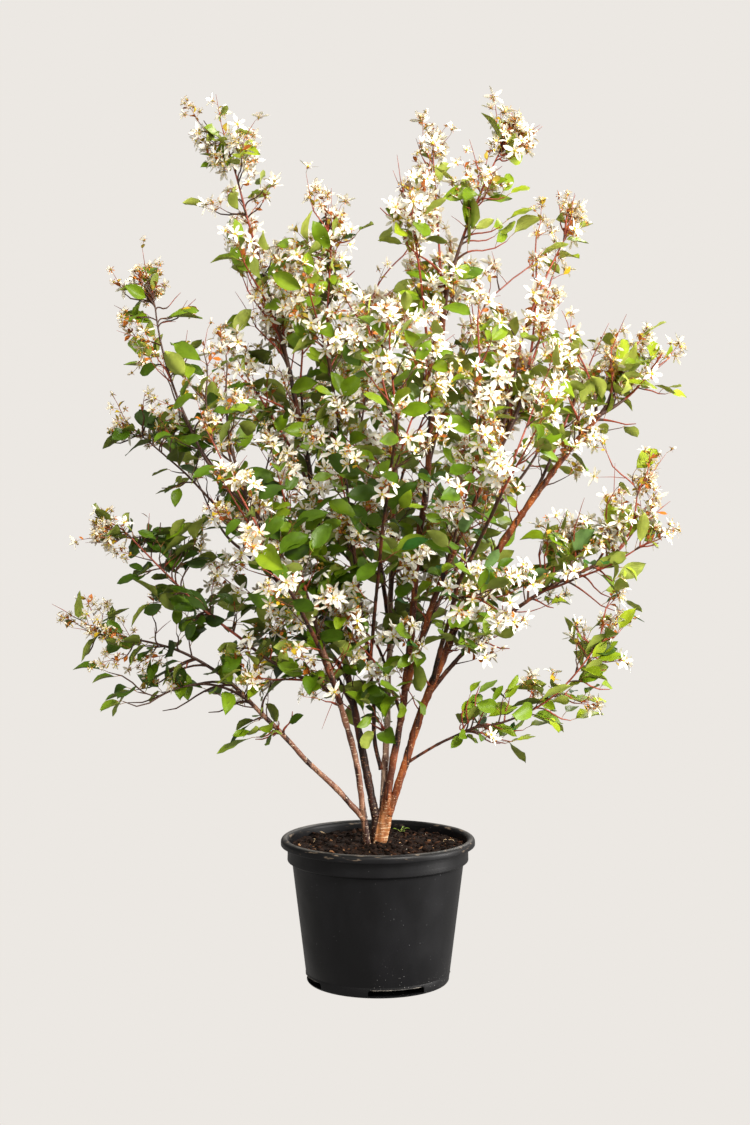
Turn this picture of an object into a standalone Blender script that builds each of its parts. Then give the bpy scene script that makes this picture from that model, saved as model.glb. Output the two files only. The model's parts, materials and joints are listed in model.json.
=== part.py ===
"""A flowering serviceberry shrub in its black nursery pot, in metres with +Z up.

The origin is the middle of the pot's flat underside. In the front view +X is to the right and
+Y points away. A bearing is measured round the pot's axis: 0 is right, 90 back, 180 left, 270 front.
"""

import math
import random
from collections import namedtuple

import bmesh
import bpy
import numpy as np
from mathutils import Matrix, Vector
from mathutils.bvhtree import BVHTree

UP = Vector((0, 0, 1))
CLEAR = 0.0003  # between two pieces that touch on the real plant
GOLDEN = math.radians(137.5)  # turn from one leaf or twig to the next round a stem

# Pot, a turned plastic shell
POT_HEIGHT = 0.208
LIP_RADIUS = 0.140
LIP_DEPTH = 0.011
LIP_EDGE = 0.001  # how far the lip's lower edge is drawn in
LIP_TURNS = (150, 90, 45, 0)  # the corners of its round, in degrees
COLLAR_RADIUS = 0.1305
COLLAR_DEPTH = 0.022
SHOULDER_DEPTH = 0.004
BODY_RADIUS = 0.1235
FOOT_RADIUS = 0.1025
FOOT_ROUND = 0.003
WALL = 0.002
FLOOR = 0.003
POT_STEPS = 32
SLOTS = 4
SLOT_BEARING = -74.5  # middle of the slot that shows in front
SLOT_SPAN = 47.0
SLOT_BOTTOM = 0.003
SLOT_TOP = 0.012

# Soil, level round the stems and lower at the wall
SOIL_TOP = 0.198
SOIL_LEVEL_RADIUS = 0.030
SOIL_EDGE = 0.195
SOIL_BOTTOM = FLOOR + CLEAR

# Trunk, from its flat cut at the soil to its fork
TRUNK_FOOT = Vector((0.004, 0.010, SOIL_TOP + CLEAR))
TRUNK_FORK = Vector((0.0115, 0.008, 0.264))
TRUNK_WAIST = 0.0108
TRUNK_FLARE = 0.0014
TRUNK_SWELL = 0.0032
TRUNK_SIDE = 0.5  # how far from its middle a bough starts, as a share of its radius
TRUNK_DOME = 0.003  # its rounded top between the boughs
TRUNK_DOME_SHARE = 0.6  # the dome's radius as a share of the trunk's there
TRUNK_PARTS = 6
TRUNK_SIDES = 12
SIDE_STEM_FOOT = Vector((-0.015, 0.000, SOIL_TOP + CLEAR))
FLAT_CUT = 0.004  # a stem's first stretch is straight, so its flat end is square to what carries it
LIMB_PARTS = 7
STOUT = 0.004  # a limb with a thicker foot than this has more sides

# A limb leaves its parent at a share of the parent's length, and its tip stands at a bearing,
# a reach from the pot's axis and a height. Bow is how far its middle stands above a straight line.
Limb = namedtuple("Limb", "name parent share bearing reach height bow foot_radius tip_radius")
LIMBS = (
    Limb("side_stem", "soil", 0, 209, 0.184, 0.666, 0.028, 0.0052, 0.0030),
    Limb("bough_low_left", "side_stem", 0.07, 186, 0.201, 0.423, 0.000, 0.0042, 0.0030),
    Limb("bough_right", "trunk", 0.60, 0, 0.317, 0.815, 0.040, 0.0078, 0.0036),
    Limb("bough_upper_left", "trunk", 0.55, 159, 0.138, 0.882, -0.002, 0.0060, 0.0032),
    Limb("bough_top", "trunk", 0.95, 0, 0.097, 0.985, 0.000, 0.0064, 0.0032),
    Limb("bough_middle", "trunk", 0.90, 71, 0.085, 0.825, 0.000, 0.0052, 0.0030),
    Limb("bough_thin", "bough_middle", 0.08, 198, 0.065, 0.835, 0.000, 0.0032, 0.0022),
    Limb("bough_mid_left", "bough_upper_left", 0.24, 186, 0.197, 0.651, 0.006, 0.0030, 0.0022),
    Limb("bough_upper_right", "bough_top", 0.22, 335, 0.187, 0.766, 0.008, 0.0048, 0.0028),
    Limb("bough_mid_right", "bough_right", 0.27, 0, 0.304, 0.596, 0.020, 0.0034, 0.0024),
    Limb("bough_low_right", "bough_right", 0.115, 352, 0.140, 0.369, 0.002, 0.0022, 0.0018),
    Limb("bough_back", "bough_middle", 0.38, 95, 0.270, 0.800, 0.020, 0.0036, 0.0024),
    Limb("bough_back_left", "bough_upper_left", 0.30, 138, 0.290, 0.620, 0.015, 0.0034, 0.0024),
    Limb("bough_back_right", "bough_top", 0.24, 42, 0.290, 0.720, 0.020, 0.0036, 0.0024),
    Limb("bough_front", "bough_thin", 0.28, 275, 0.230, 0.760, 0.020, 0.0026, 0.0022),
    Limb("bough_front_left", "side_stem", 0.42, 238, 0.250, 0.600, 0.012, 0.0034, 0.0024),
    Limb("bough_front_right", "bough_right", 0.30, 307, 0.250, 0.675, 0.020, 0.0036, 0.0024),
)

# A mass of foliage leaves its limb at a share of the limb's length, where 1 is the limb's tip. The
# tip of its last leaf stands at the bearing, reach and height. Bow is how far the middle of its stem
# stands above the bend that it has from its limb, and girth is its longest side twig.
Mass = namedtuple("Mass", "name limb share bearing reach height bow girth")
MASSES = (
    Mass("foliage_top_left", "bough_upper_left", 1, 168, 0.241, 1.270, -0.005, 0.070),
    Mass("foliage_top_middle", "bough_thin", 1, 204, 0.073, 1.125, 0, 0.085),
    Mass("foliage_upper_left", "side_stem", 1, 193, 0.348, 1.022, -0.028, 0.100),
    Mass("foliage_mid_left", "bough_mid_left", 1, 186, 0.382, 0.830, -0.002, 0.095),
    Mass("foliage_low_left", "bough_low_left", 1, 184, 0.456, 0.529, 0, 0.095),
    Mass("foliage_centre", "bough_middle", 1, 102, 0.102, 1.013, 0, 0.090),
    Mass("foliage_top_right", "bough_top", 1, 0, 0.197, 1.252, -0.006, 0.070),
    Mass("foliage_upper_right", "bough_upper_right", 1, 350, 0.283, 1.120, 0.025, 0.090),
    Mass("foliage_right", "bough_right", 1, 3, 0.443, 0.916, -0.008, 0.095),
    Mass("foliage_mid_right", "bough_mid_right", 1, 0, 0.409, 0.756, -0.004, 0.080),
    Mass("foliage_low_right", "bough_low_right", 1, 355, 0.365, 0.518, -0.017, 0.080),
    Mass("foliage_back", "bough_back", 1, 95, 0.410, 0.990, 0, 0.110),
    Mass("foliage_back_left", "bough_back_left", 1, 138, 0.420, 0.760, 0, 0.110),
    Mass("foliage_back_right", "bough_back_right", 1, 42, 0.420, 0.900, 0, 0.110),
    Mass("foliage_front", "bough_front", 1, 272, 0.370, 0.930, 0, 0.110),
    Mass("foliage_front_left", "bough_front_left", 1, 238, 0.390, 0.740, 0, 0.110),
    Mass("foliage_front_right", "bough_front_right", 1, 306, 0.369, 0.817, 0, 0.110),
    Mass("foliage_side_left", "side_stem", 0.45, 187, 0.405, 0.682, -0.045, 0.080),
    Mass("foliage_under_left", "bough_low_left", 0.85, 195, 0.397, 0.418, 0.020, 0.070),
    Mass("foliage_crest_front", "bough_top", 0.72, 312, 0.067, 1.142, 0, 0.065),
    Mass("foliage_crest_back", "bough_top", 0.88, 21, 0.084, 1.234, 0, 0.060),
    Mass("foliage_side_right", "bough_right", 0.72, 9, 0.338, 0.946, 0, 0.095),
    Mass("foliage_tip_right", "bough_mid_right", 0.75, 356, 0.429, 0.651, -0.007, 0.065),
    Mass("foliage_shoulder_left", "bough_upper_left", 0.70, 175, 0.220, 0.930, 0, 0.100),
    Mass("foliage_shoulder_back", "bough_upper_left", 0.82, 125, 0.200, 1.010, 0, 0.100),
    Mass("foliage_shoulder_right", "bough_top", 0.66, 38, 0.226, 1.037, 0, 0.100),
    Mass("foliage_inner_back", "bough_middle", 0.70, 60, 0.190, 0.900, 0, 0.100),
    Mass("foliage_inner_front", "bough_thin", 0.55, 251, 0.169, 0.759, 0, 0.090),
    Mass("foliage_inner_right", "bough_right", 0.48, 345, 0.230, 0.580, 0, 0.080),
    Mass("foliage_inner_left", "bough_mid_left", 0.35, 168, 0.260, 0.600, 0, 0.090),
    Mass("foliage_rear_low", "bough_back", 0.45, 100, 0.300, 0.620, 0, 0.100),
    Mass("foliage_rear_left", "bough_back_left", 0.75, 118, 0.330, 0.860, 0, 0.110),
    Mass("foliage_rear_right", "bough_back_right", 0.75, 65, 0.350, 0.790, 0, 0.110),
    Mass("foliage_brow", "bough_front", 0.80, 292, 0.216, 0.899, 0, 0.100),
    Mass("foliage_cheek_left", "bough_front_left", 0.80, 215, 0.300, 0.820, 0, 0.100),
    Mass("foliage_cheek_right", "bough_front_right", 0.45, 311, 0.290, 0.548, 0, 0.090),
    Mass("foliage_waist_left", "side_stem", 0.58, 232, 0.230, 0.760, 0, 0.100),
    Mass("foliage_waist_right", "bough_upper_right", 0.45, 313, 0.219, 0.818, 0, 0.100),
    Mass("foliage_low_centre", "bough_top", 0.17, 222, 0.090, 0.551, 0, 0.080),
    Mass("foliage_heart", "bough_middle", 0.50, 300, 0.060, 0.880, 0, 0.090),
)

# A mass's own stem, its leader
LEADER_MOST_RADIUS = 0.0030
LEADER_TIP_RADIUS = 0.0011
LEADER_SIDE_SHARE = 0.75  # of its limb's radius, where it leaves the limb's side
LEADER_BEND = 0.45  # share of its length that follows its limb's heading
LEADER_PARTS = 5
LEADER_SIDES = 4
SPACE_SAMPLES = 8  # stretches of a leader that stand for it when the crown is shared out
SPACE_MARGIN = 0.0025

# The rule for side twigs. They leave a leader between two shares of its length, and lean away
# from it by an angle that falls from its foot to its tip.
TWIG_STEP = 0.060
TWIG_LEAST = 3
TWIG_FROM = 0.12
TWIG_TO = 0.92
TWIG_LEAN_FOOT = 62.0
TWIG_LEAN_TIP = 38.0
TWIG_LIFT = 0.15  # how much a twig turns up to the light
TWIG_TURN_CHANCE = 0.4
TWIG_SHORTEST = 0.75
TWIG_TIP_SHARE = 0.5  # length of the last twig against the first
TWIG_FOOT_RADIUS = 0.0015
TWIG_TIP_RADIUS = 0.0011

# Leaves and blossom of the solids, a little larger than life
LEAF_LENGTH = 0.070
LEAF_WIDTH = 0.037
LEAF_THICKNESS = 0.0016
LEAF_CREST = 0.35  # share of its length where a leaf is thickest
LEAF_SHOULDER = 0.75  # its outer corners' width against its inner ones'
LEAF_ROOT = 0.0004  # how far a leaf's point runs on past the middle of its twig
LEAF_SHARES = (0.3, 0.6)  # of its twig's length
LEAF_SWEEP = 0.6  # how much a leaf leans on along its twig
LEAF_TRIES = 4
LEAF_ROLL = 0.6
LEAF_SIZES = (0.85, 1.1)
LEAF_CORNERS = 5
LEAF_LIFT = 0.3  # how far a leaf turns up or down by chance
LEAF_NUDGE = 0.5  # how far a leaf turns aside for each new try
STEM_LEAF_TURN = 2.0  # radians round the stem from a side twig to the stem's own leaf
STEM_LEAF_SWEEP = 0.5
BARE_EVERY = 4  # one twig in so many ends in a leaf and not in blossom
BLOSSOM_RADIUS = 0.022
BLOSSOM_NOTCH = 0.40
BLOSSOM_THICKNESS = 0.0028
PETALS = 5

# Each material's colour and roughness
BARK = ((0.20, 0.085, 0.045), 0.65)
FOLIAGE = ((0.13, 0.24, 0.06), 0.5)
PLASTIC = ((0.016, 0.016, 0.018), 0.55)
COMPOST = ((0.050, 0.026, 0.016), 0.95)


def clear_scene():
    for old in list(bpy.data.objects):
        bpy.data.objects.remove(old)


def new_collection(name):
    made = bpy.data.collections.new(name)
    bpy.context.scene.collection.children.link(made)
    return made


def new_object(name, mesh, collection):
    made = bpy.data.objects.new(name, mesh)
    collection.objects.link(made)
    return made


def paint(obj, look):
    """Gives the object its own Principled material."""
    colour, roughness = look
    material = bpy.data.materials.new(obj.name)
    material.use_nodes = True
    shader = material.node_tree.nodes["Principled BSDF"]
    shader.inputs["Base Color"].default_value = (*colour, 1)
    shader.inputs["Roughness"].default_value = roughness
    shader.inputs["Metallic"].default_value = 0
    obj.data.materials.clear()
    obj.data.materials.append(material)


def apply_modifiers(obj):
    """Turns what the modifiers make into the object's own mesh."""
    bpy.context.view_layer.update()
    graph = bpy.context.evaluated_depsgraph_get()
    mesh = bpy.data.meshes.new_from_object(obj.evaluated_get(graph))
    obj.modifiers.clear()
    obj.data = mesh


def weld(obj):
    shape = bmesh.new()
    shape.from_mesh(obj.data)
    bmesh.ops.remove_doubles(shape, verts=shape.verts, dist=1e-6)
    shape.to_mesh(obj.data)
    shape.free()


def keep_largest(obj):
    """Drops what a Boolean left loose, so that the object is one body."""
    shape = bmesh.new()
    shape.from_mesh(obj.data)
    left = set(shape.verts)
    bodies = []
    while left:
        edge = [left.pop()]
        body = set(edge)
        while edge:
            near = {e.other_vert(v) for v in edge for e in v.link_edges} & left
            left -= near
            body |= near
            edge = list(near)
        bodies.append(body)
    bodies.sort(key=len)
    scraps = [v for body in bodies[:-1] for v in body]
    bmesh.ops.delete(shape, geom=scraps, context="VERTS")
    shape.to_mesh(obj.data)
    shape.free()


def tube(name, points, radii, sides, collection):
    """A closed tube through the points: a bevelled curve made a mesh, with its caps welded on."""
    curve = bpy.data.curves.new(name, "CURVE")
    curve.dimensions = "3D"
    curve.bevel_depth = 1
    curve.bevel_resolution = sides // 2 - 2
    curve.use_fill_caps = True
    spline = curve.splines.new("POLY")
    spline.points.add(len(points) - 1)
    for place, point, radius in zip(spline.points, points, radii):
        place.co = (*point, 1)
        place.radius = radius
    guide = new_object(name + "_guide", curve, collection)
    bpy.context.view_layer.update()
    graph = bpy.context.evaluated_depsgraph_get()
    made = new_object(name, bpy.data.meshes.new_from_object(guide.evaluated_get(graph)), collection)
    bpy.data.objects.remove(guide)
    weld(made)
    return made


def faces_of(obj):
    """The object's shape as a tree of triangles that can be tested for touching."""
    corners = [v.co for v in obj.data.vertices]
    return BVHTree.FromPolygons(corners, [p.vertices for p in obj.data.polygons])


def turned(name, profile, collection):
    """Turns a profile of (radius, height) points round Z, from the top down its outer side."""
    shape = bmesh.new()
    corners = [shape.verts.new((radius, 0, height)) for radius, height in profile]
    for above, below in zip(corners, corners[1:]):
        shape.edges.new((above, below))
    mesh = bpy.data.meshes.new(name)
    shape.to_mesh(mesh)
    shape.free()
    made = new_object(name, mesh, collection)
    screw = made.modifiers.new("Turn", "SCREW")
    screw.steps = POT_STEPS
    screw.render_steps = POT_STEPS
    screw.use_merge_vertices = True
    screw.merge_threshold = 1e-5
    apply_modifiers(made)
    return made


def body_radius(height):
    """The pot body's outer radius, which tapers to the foot."""
    top = POT_HEIGHT - LIP_DEPTH - COLLAR_DEPTH - SHOULDER_DEPTH
    return FOOT_RADIUS + (BODY_RADIUS - FOOT_RADIUS) * height / top


def make_pot(collection):
    collar_top = POT_HEIGHT - LIP_DEPTH
    collar_bottom = collar_top - COLLAR_DEPTH
    body_top = collar_bottom - SHOULDER_DEPTH
    lip_middle = (LIP_RADIUS + COLLAR_RADIUS - WALL) / 2
    lip_half = (LIP_RADIUS - COLLAR_RADIUS + WALL) / 2
    lip_centre = POT_HEIGHT - lip_half
    lip = [
        (lip_middle + lip_half * math.cos(turn), lip_centre + lip_half * math.sin(turn))
        for turn in map(math.radians, LIP_TURNS)
    ]
    outer = [
        (LIP_RADIUS - LIP_EDGE, collar_top),
        (COLLAR_RADIUS, collar_top),
        (COLLAR_RADIUS, collar_bottom),
        (body_radius(body_top), body_top),
        (body_radius(FOOT_ROUND), FOOT_ROUND),
        (FOOT_RADIUS - FOOT_ROUND, 0),
        (0, 0),
    ]
    inner = [
        (0, FLOOR),
        (body_radius(FLOOR) - WALL, FLOOR),
        (body_radius(body_top) - WALL, body_top),
        (COLLAR_RADIUS - WALL, collar_bottom),
    ]
    pot = turned("pot", [*lip, *outer, *inner, lip[0]], collection)
    slots = new_collection("slot cutters")
    for i in range(SLOTS):
        add_slot_cutter(slots, SLOT_BEARING + 360 / SLOTS * i)
    cut = pot.modifiers.new("Slots", "BOOLEAN")
    cut.operation = "DIFFERENCE"
    cut.operand_type = "COLLECTION"
    cut.collection = slots
    apply_modifiers(pot)
    empty_collection(slots)
    paint(pot, PLASTIC)
    return pot


def add_slot_cutter(collection, bearing):
    """A box through the wall's foot, as wide as the slot is round the wall."""
    shape = bmesh.new()
    half_width = FOOT_RADIUS * math.sin(math.radians(SLOT_SPAN / 2))
    deep = FOOT_RADIUS * math.cos(math.radians(SLOT_SPAN / 2)) - 3 * WALL
    size = (LIP_RADIUS - deep, 2 * half_width, SLOT_TOP - SLOT_BOTTOM)
    middle = ((LIP_RADIUS + deep) / 2, 0, (SLOT_TOP + SLOT_BOTTOM) / 2)
    place = Matrix.Translation(middle) @ Matrix.Diagonal((*size, 1))
    bmesh.ops.create_cube(shape, size=1, matrix=Matrix.Rotation(math.radians(bearing), 4, "Z") @ place)
    mesh = bpy.data.meshes.new("slot")
    shape.to_mesh(mesh)
    shape.free()
    new_object("slot", mesh, collection).hide_render = True


def empty_collection(collection):
    for used in list(collection.objects):
        bpy.data.objects.remove(used)
    bpy.data.collections.remove(collection)


def make_soil(collection):
    body_top = POT_HEIGHT - LIP_DEPTH - COLLAR_DEPTH - SHOULDER_DEPTH
    shoulder_top = body_top + SHOULDER_DEPTH
    wall = WALL + 2 * CLEAR
    profile = [
        (0, SOIL_TOP),
        (SOIL_LEVEL_RADIUS, SOIL_TOP),
        (COLLAR_RADIUS - wall, SOIL_EDGE),
        (COLLAR_RADIUS - wall, shoulder_top + CLEAR),
        (body_radius(body_top) - wall, body_top + CLEAR),
        (body_radius(SOIL_BOTTOM) - wall, SOIL_BOTTOM),
        (0, SOIL_BOTTOM),
    ]
    soil = turned("soil", profile, collection)
    paint(soil, COMPOST)
    return soil


def at_bearing(bearing, reach, height):
    turn = math.radians(bearing)
    return Vector((reach * math.cos(turn), reach * math.sin(turn), height))


class Arc:
    """A stem's middle line: a quadratic curve with a radius at each end."""

    def __init__(self, foot, middle, tip, foot_radius, tip_radius):
        self.foot, self.middle, self.tip = foot, middle, tip
        self.foot_radius, self.tip_radius = foot_radius, tip_radius

    def point(self, share):
        first = self.foot.lerp(self.middle, share)
        return first.lerp(self.middle.lerp(self.tip, share), share)

    def heading(self, share):
        return (self.middle - self.foot).lerp(self.tip - self.middle, share).normalized()

    def radius(self, share):
        return self.foot_radius + (self.tip_radius - self.foot_radius) * share

    def length(self):
        straight = (self.tip - self.foot).length
        return (straight + (self.middle - self.foot).length + (self.tip - self.middle).length) / 2

    def points(self, parts):
        return [self.point(i / parts) for i in range(parts + 1)]

    def radii(self, parts):
        return [self.radius(i / parts) for i in range(parts + 1)]


def trunk_arc():
    return Arc(TRUNK_FOOT, (TRUNK_FOOT + TRUNK_FORK) / 2, TRUNK_FORK, TRUNK_WAIST, TRUNK_WAIST)


def trunk_radius(share):
    """Flares to the roots at the soil and swells again where the boughs leave."""
    return TRUNK_WAIST + TRUNK_FLARE * (1 - share) ** 5 + TRUNK_SWELL * share**2


def limb_arc(limb, arcs):
    foot = SIDE_STEM_FOOT if limb.parent == "soil" else arcs[limb.parent].point(limb.share)
    if limb.parent == "trunk":
        foot = foot + at_bearing(limb.bearing, trunk_radius(limb.share) * TRUNK_SIDE, 0)
    tip = at_bearing(limb.bearing, limb.reach, limb.height)
    along = (tip - foot).normalized()
    above = (UP - along * along.z).normalized()
    middle = (foot + tip) / 2 + 2 * limb.bow * above
    return Arc(foot, middle, tip, limb.foot_radius, limb.tip_radius)


def leader_arc(mass, arcs):
    """A mass's own stem, which runs on from its limb and ends a leaf's length short of its tip."""
    limb = arcs[mass.limb]
    heading = limb.heading(mass.share)
    from_tip = mass.share == 1
    foot = limb.point(mass.share) + (heading * CLEAR if from_tip else Vector())
    tip = at_bearing(mass.bearing, mass.reach, mass.height)
    straight = tip - foot
    tip -= straight.normalized() * LEAF_LENGTH
    straight = tip - foot
    along = straight.normalized()
    above = (UP - along * along.z).normalized()
    bend = heading if from_tip else (heading + along).normalized()
    middle = foot + bend * straight.length * LEADER_BEND + 2 * mass.bow * above
    foot_radius = limb.radius(mass.share) * (1 if from_tip else LEADER_SIDE_SHARE)
    return Arc(foot, middle, tip, min(foot_radius, LEADER_MOST_RADIUS), LEADER_TIP_RADIUS)


def make_trunk(collection):
    arc = trunk_arc()
    shares = [i / TRUNK_PARTS for i in range(TRUNK_PARTS + 1)]
    points = [arc.point(share) for share in shares]
    points.insert(1, points[0] + UP * FLAT_CUT)
    radii = [trunk_radius(share) for share in shares]
    radii.insert(1, trunk_radius(FLAT_CUT / arc.length()))
    points.append(points[-1] + arc.heading(1) * TRUNK_DOME)
    radii.append(radii[-1] * TRUNK_DOME_SHARE)
    trunk = tube("trunk", points, radii, TRUNK_SIDES, collection)
    grown = [radius + CLEAR for radius in radii]
    return trunk, tube("trunk_cutter", points, grown, TRUNK_SIDES, collection)


def cut_away(obj, cutters):
    """Cuts the earlier limbs' grown tubes out of the object, one after another."""
    for cutter in cutters:
        cut = obj.modifiers.new("Cut", "BOOLEAN")
        cut.operation = "DIFFERENCE"
        cut.object = cutter
    if cutters:
        apply_modifiers(obj)
        keep_largest(obj)


def make_limbs(collection, arcs):
    """Makes the trunk and every limb, each cut clear of those before it, and returns the cutters."""
    trunk, cutter = make_trunk(collection)
    arcs["trunk"] = trunk_arc()
    paint(trunk, BARK)
    cutters = [cutter]
    for limb in LIMBS:
        arc = arcs[limb.name] = limb_arc(limb, arcs)
        points = arc.points(LIMB_PARTS)
        radii = arc.radii(LIMB_PARTS)
        if limb.parent == "soil":
            points.insert(1, points[0] + UP * FLAT_CUT)
            radii.insert(1, radii[0])
        sides = 8 if limb.foot_radius > STOUT else 6
        made = tube(limb.name, points, radii, sides, collection)
        shape = faces_of(made)
        cut_away(made, [other for other in cutters if shape.overlap(faces_of(other))])
        paint(made, BARK)
        grown = [radius + CLEAR for radius in radii]
        cutters.append(tube(limb.name + "_cutter", points, grown, sides, collection))
    return cutters


class Spaces:
    """Each mass's own space: the points that lie nearer its own stem than any other mass's."""

    def __init__(self, leaders):
        samples = [leader.points(SPACE_SAMPLES) for leader in leaders.values()]
        self.points = np.array([p[:] for points in samples for p in points])
        self.owner = np.repeat(np.arange(len(samples)), SPACE_SAMPLES + 1)
        self.index = {name: i for i, name in enumerate(leaders)}

    def holds(self, name, corners):
        away = np.linalg.norm(np.array(corners)[:, None] - self.points[None], axis=2)
        own = self.owner == self.index[name]
        nearest_own = away[:, own].min(axis=1)
        nearest_other = away[:, ~own].min(axis=1)
        return bool((nearest_own + SPACE_MARGIN < nearest_other).all())


def facing(root, along, up):
    """A place at the root whose X runs along and whose Z is as near up as it can be."""
    x = along.normalized()
    y = up.cross(x).normalized()
    z = x.cross(y)
    turn = Matrix((x, y, z)).transposed().to_4x4()
    return Matrix.Translation(root) @ turn


def leaf_shape(size):
    """A leaf along +X: a low five-sided cone, drawn out to an oval with one corner at its root."""
    length, width = LEAF_LENGTH * size, LEAF_WIDTH * size
    half_length = length / (1 + math.cos(math.pi / LEAF_CORNERS))
    shape = bmesh.new()
    bmesh.ops.create_cone(shape, cap_ends=True, segments=LEAF_CORNERS, radius1=1, radius2=0, depth=1)
    for corner in shape.verts:
        if corner.co.z > 0:
            corner.co = (LEAF_CREST * length, 0, LEAF_THICKNESS)
            continue
        turn = math.pi - math.atan2(corner.co.x, corner.co.y)
        half_width = width / 2 * (1 if math.cos(turn) < 0 else LEAF_SHOULDER)
        corner.co = (half_length * (1 + math.cos(turn)), half_width * math.sin(turn), 0)
    bmesh.ops.translate(shape, verts=shape.verts, vec=(-LEAF_ROOT, 0, 0))
    return shape


def blossom_shape():
    """A five-petalled blossom that faces +X: a low ten-sided cone with every second corner drawn in."""
    shape = bmesh.new()
    bmesh.ops.create_cone(shape, cap_ends=True, segments=2 * PETALS, radius1=1, radius2=0, depth=1)
    for corner in shape.verts:
        if corner.co.z > 0:
            corner.co = (BLOSSOM_THICKNESS, 0, 0)
            continue
        turn = math.atan2(corner.co.x, corner.co.y)
        petal = round(turn / (math.pi / PETALS)) % 2 == 0
        radius = BLOSSOM_RADIUS * (1 if petal else BLOSSOM_NOTCH)
        corner.co = (0, radius * math.sin(turn), radius * math.cos(turn))
    return shape


def twig_shape(length):
    """A three-sided twig along +X."""
    shape = bmesh.new()
    place = Matrix.Translation((length / 2, 0, 0)) @ Matrix.Rotation(math.pi / 2, 4, "Y")
    bmesh.ops.create_cone(
        shape,
        cap_ends=True,
        segments=3,
        radius1=TWIG_FOOT_RADIUS,
        radius2=TWIG_TIP_RADIUS,
        depth=length,
        matrix=place,
    )
    return shape


def side_twig(mass, leader, i, count):
    """The rule for side twig i of a mass: where it leaves the stem, its heading and its length."""
    chance = random.Random(f"{mass.name} {i}")
    share = TWIG_FROM + (TWIG_TO - TWIG_FROM) * (i + 0.5) / count
    heading = leader.heading(share)
    turn = GOLDEN * i + chance.uniform(-TWIG_TURN_CHANCE, TWIG_TURN_CHANCE)
    lean = math.radians(TWIG_LEAN_FOOT + (TWIG_LEAN_TIP - TWIG_LEAN_FOOT) * share)
    across = heading.orthogonal().normalized()
    outward = Matrix.Rotation(turn, 3, heading) @ across
    along = heading * math.cos(lean) + outward * math.sin(lean) + UP * TWIG_LIFT
    shorter = 1 - (1 - TWIG_TIP_SHARE) * share
    length = mass.girth * shorter * chance.uniform(TWIG_SHORTEST, 1.0)
    return leader.point(share), along.normalized(), length, chance


class Grower:
    """Collects a mass's pieces, and takes only those that keep to its space and touch no limb."""

    def __init__(self, spaces, solids):
        self.spaces, self.solids = spaces, solids
        self.others = []

    def start(self, mass):
        self.mass = mass
        self.pieces = []
        self.blades = []

    def fits(self, shape, tree):
        corners = [v.co[:] for v in shape.verts]
        if not self.spaces.holds(self.mass.name, corners):
            return False
        return not any(tree.overlap(other) for other in self.solids + self.others)

    def add(self, shape, place, blade=True):
        """Takes the piece if it fits. A blade, a leaf or a blossom, also stays clear of the others."""
        shape.transform(place)
        tree = BVHTree.FromBMesh(shape)
        crowded = blade and any(tree.overlap(other) for other in self.blades)
        if crowded or not self.fits(shape, tree):
            shape.free()
            return False
        if blade:
            self.blades.append(tree)
        self.pieces.append(shape)
        return True

    def add_leaf(self, root, along, chance):
        """Adds a leaf, which may turn a little to find room."""
        for _ in range(LEAF_TRIES):
            roll = Vector((chance.uniform(-LEAF_ROLL, LEAF_ROLL), chance.uniform(-LEAF_ROLL, LEAF_ROLL), 1))
            size = chance.uniform(*LEAF_SIZES)
            if self.add(leaf_shape(size), facing(root, along, roll)):
                return
            along = along + Vector([chance.uniform(-LEAF_NUDGE, LEAF_NUDGE) for _ in range(3)])

    def finish(self):
        """The mass is done: its pieces are an obstacle for the masses that follow."""
        for shape in self.pieces:
            self.others.append(BVHTree.FromBMesh(shape))
        return self.pieces


def grow_mass(grower, mass, leader):
    """Side twigs round the stem, with leaves along them and blossom at their ends."""
    grower.start(mass)
    count = max(TWIG_LEAST, round(leader.length() / TWIG_STEP))
    for i in range(count):
        foot, along, length, chance = side_twig(mass, leader, i, count)
        if grower.add(twig_shape(length), facing(foot, along, UP), blade=False):
            side = along.cross(UP).normalized()
            for share, hand in zip(LEAF_SHARES, (1, -1)):
                outward = along * LEAF_SWEEP + side * hand + UP * chance.uniform(-LEAF_LIFT, LEAF_LIFT)
                grower.add_leaf(foot + along * length * share, outward, chance)
            end = foot + along * (length - TWIG_TIP_RADIUS)
            if i % BARE_EVERY == 0 or not grower.add(blossom_shape(), facing(end, along, UP)):
                grower.add_leaf(end, along, chance)
        share = TWIG_FROM + (TWIG_TO - TWIG_FROM) * (i + 1) / count
        heading = leader.heading(share)
        outward = Matrix.Rotation(GOLDEN * i + STEM_LEAF_TURN, 3, heading) @ along
        grower.add_leaf(leader.point(share), outward + heading * STEM_LEAF_SWEEP, chance)
    grower.add_leaf(leader.tip, leader.heading(1), random.Random(mass.name))
    return grower.finish()


def fuse(stem, pieces):
    """One Boolean union joins a mass's pieces to its stem."""
    joined = new_collection("joined")
    for shape in pieces:
        mesh = bpy.data.meshes.new("piece")
        shape.to_mesh(mesh)
        shape.free()
        new_object("piece", mesh, joined)
    union = stem.modifiers.new("Join", "BOOLEAN")
    union.operation = "UNION"
    union.operand_type = "COLLECTION"
    union.collection = joined
    apply_modifiers(stem)
    empty_collection(joined)
    keep_largest(stem)


def make_stem(mass, leader, arcs, collection):
    """A mass's stem. On a limb's tip it first runs straight on, so that the two ends face each other."""
    points = leader.points(LEADER_PARTS)
    radii = leader.radii(LEADER_PARTS)
    if mass.share == 1:
        points.insert(1, points[0] + arcs[mass.limb].heading(1) * FLAT_CUT)
        radii.insert(1, radii[0])
    return tube(mass.name, points, radii, LEADER_SIDES, collection)


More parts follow.
